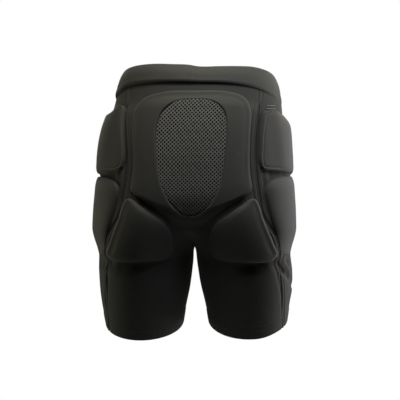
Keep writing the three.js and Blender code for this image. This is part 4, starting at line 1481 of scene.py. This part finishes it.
def slide_left(points):
    """Draws the cloth on the left hip outwards along the body, as the raised waist does."""
    away, down = np.abs(points[:, 0]), np.clip(-points[:, 2], 0, RISE)
    reach = np.where(away > SLIDE_AT, 20 * MM, 40 * MM)
    amount = LEFT_SLIDE * (1 - smooth(down, 70 * MM, 160 * MM)) * hump(away, SLIDE_AT, reach)
    amount = amount * (points[:, 0] < 0) * smooth(-points[:, 1], 0.0, 30 * MM)
    points[:, 1] += on_back(away + amount, down, 0.0)[:, 1] - on_back(away, down, 0.0)[:, 1]
    points[:, 0] -= amount


def lean(obj):
    """Shifts the points of a finished piece."""
    count = len(obj.data.vertices)
    points = np.zeros(count * 3)
    obj.data.vertices.foreach_get("co", points)
    points = points.reshape(-1, 3)
    slide_left(points)
    height, shift = np.array(STANCE).T
    across, down = points[:, 0].copy(), -points[:, 2]
    leg = smooth(down, 350 * MM, 450 * MM)
    legs = leg * np.where(across > 0, RIGHT_LEG_UP, -LEFT_LEG_DOWN) * smooth(np.abs(across), 0.0, 30 * MM)
    fork = smooth(down, 270 * MM, 310 * MM) * (1 - smooth(down, 330 * MM, 390 * MM))
    fork = fork * CROTCH_UP * (1 - smooth(np.abs(across), 0.0, CROTCH_HALF))
    points[:, 0] += curve_through(height, shift, np.clip(points[:, 2] / MM, -480, 29.9)) * MM
    points[:, 2] += legs + fork + OUTER_HEM_UP * leg * smooth(points[:, 0], 110 * MM, 160 * MM)
    obj.data.vertices.foreach_set("co", points.ravel())
    obj.data.update()


sewn_on = (waistband, *pads.values(), tailbone, net, foam, cloth_stitches, pad_stitches, bars)
for obj in (*panels.values(), *sewn_on):
    lean(obj)
print("leaning: the waist by", STANCE[-2][1], "mm")

# %% [markdown]
# ## The cloth
# The four panels are cut flat and pulled over the body. Knit like this stretches by about a
# tenth when it is worn.

# %% [markdown]
# ## Floor, light and camera
# The picture has a plain white ground and soft light, and black cloth shows only what the light
# grazes. Eight square area lights give that: three above and behind, which draw the upper edges,
# three on the right, and two weak, slightly warm ones on the left. The pale floor lies so far
# below that it stays out of the picture.

# %% Floor
FLOOR_Z, FLOOR_RADIUS = -0.85, 0.6


def make_floor():
    """A pale disc with a slightly uneven tone."""
    rings, sides = 6, 96
    angle = np.linspace(0, 2 * np.pi, sides, endpoint=False)
    radii = np.linspace(1, 0.02, rings) * FLOOR_RADIUS
    points = np.stack([np.cos(angle)[None] * radii[:, None], np.sin(angle)[None] * radii[:, None],
                       np.full((rings, sides), FLOOR_Z)], -1)
    faces = grid_faces(rings, sides, True) + [tuple((rings - 1) * sides + i for i in range(sides))]
    floor = make_object("floor", points, faces)
    material = bpy.data.materials.new("pale_floor")
    material.use_nodes = True
    surface = material.node_tree.nodes["Principled BSDF"]
    noise = add(material.node_tree, "TexNoise", {"Scale": 8.0, "Detail": 2.0})
    tone = add(material.node_tree, "Mix", {"Factor": noise.outputs["Fac"], "A": (0.80, 0.80, 0.80, 1),
                                           "B": (0.84, 0.84, 0.84, 1)}, data_type="RGBA")
    material.node_tree.links.new(tone.outputs["Result"], surface.inputs["Base Color"])
    surface.inputs["Roughness"].default_value = 0.9
    floor.data.materials.append(material)
    print("floor", triangles(floor), "triangles")


make_floor()

# %% [markdown]
# ## Eight lights
# Every lamp aims at the middle of the shorts. Where a lamp stands decides which edges it draws:
# the ones above light the band and the upper shoulders of the pads, the ones at the sides light
# the hip pads and the outer edges of the legs.

# %% Lights
LAMP_SIZE = 0.35
LIGHTS = {  # name: place, power in watts, colour
    "top_behind": ((0.0, -0.45, 0.42), 2.4, (1.0, 0.92, 0.8)),
    "top_right": ((0.3, -0.45, 0.42), 2.5, (0.7, 0.84, 1.0)),
    "top_over": ((0.0, -0.25, 0.5), 3.1, (1.0, 0.95, 0.68)),
    "right": ((0.6, 0.0, 0.1), 2.7, (1.0, 0.96, 0.88)),
    "right_front": ((0.6, 0.3, -0.1), 1.2, (0.92, 0.94, 1.0)),
    "right_low": ((0.6, 0.12, -0.5), 1.9, (1.0, 0.97, 0.9)),
    "left_low": ((-0.6, -0.05, -0.25), 0.8, (1.0, 0.94, 0.72)),
    "left_hem": ((-0.6, 0.12, -0.5), 0.55, (0.95, 1.0, 0.8)),
}
AIM = Vector((0.0, 0.0, -0.2))
for name, (place, power, colour) in LIGHTS.items():
    lamp = bpy.data.lights.new(name, "AREA")
    lamp.shape = "SQUARE"
    lamp.size = LAMP_SIZE
    lamp.energy = power
    lamp.color = colour
    holder = bpy.data.objects.new(name, lamp)
    holder.location = place
    holder.rotation_euler = (AIM - Vector(place)).to_track_quat("-Z", "Y").to_euler()
    bpy.context.scene.collection.objects.link(holder)
print(len(LIGHTS), "lights of", round(sum(row[1] for row in LIGHTS.values()), 2), "watts in all")

# %% [markdown]
# ## A white ground that hardly lights
# A white world would light the black cloth from all sides and take the shadows away. So the
# camera sees it white, while for all other rays it is nearly dark.

# %% World: white ground behind, dim light from it
WORLD_LIGHT = 0.001


def make_world():
    """White for the camera, nearly dark for the light."""
    world = bpy.data.worlds.new("white_ground")
    world.use_nodes = True
    tree = world.node_tree
    tree.nodes.clear()
    seen = add(tree, "Background", {"Color": (1, 1, 1, 1), "Strength": 1.0})
    dim = add(tree, "Background", {"Color": (1, 1, 1, 1), "Strength": WORLD_LIGHT})
    path = add(tree, "LightPath")
    mix = add(tree, "MixShader", {0: path.outputs["Is Camera Ray"], 1: dim.outputs[0], 2: seen.outputs[0]})
    out = tree.nodes.new("ShaderNodeOutputWorld")
    tree.links.new(mix.outputs[0], out.inputs["Surface"])
    bpy.context.scene.world = world


make_world()
print("the ground lights with a strength of", WORLD_LIGHT)

# %% [markdown]
# ## The camera
# A 70 mm lens 1.4 m behind the shorts, level with their middle and turned by 3 degrees, because
# the picture shows a little more of the right side. The Standard view transform keeps black black.

# %% Camera
CAMERA_DISTANCE, CAMERA_HEIGHT = 1.413, -0.2233
CAMERA_TURN = math.radians(3.0)
CAMERA_SHIFT = 0.01225


def make_camera():
    """The camera behind the shorts."""
    data = bpy.data.cameras.new("camera")
    data.lens, data.sensor_width = 70, 36
    data.shift_x = CAMERA_SHIFT
    camera = bpy.data.objects.new("camera", data)
    camera.location = (CAMERA_DISTANCE * math.sin(CAMERA_TURN), -CAMERA_DISTANCE * math.cos(CAMERA_TURN),
                       CAMERA_HEIGHT)
    camera.rotation_euler = (math.radians(90), 0, CAMERA_TURN)
    bpy.context.scene.collection.objects.link(camera)
    bpy.context.scene.camera = camera


make_camera()
bpy.context.scene.view_settings.view_transform = "Standard"
print("camera at", [round(value, 3) for value in bpy.context.scene.camera.location])

# %% [markdown]
# ## Finishing
# At the end the scene is brought up to date. The dressed shorts may be a little larger than the
# imported solids, but not by much.

# %% Bring the scene up to date
bpy.context.view_layer.update()
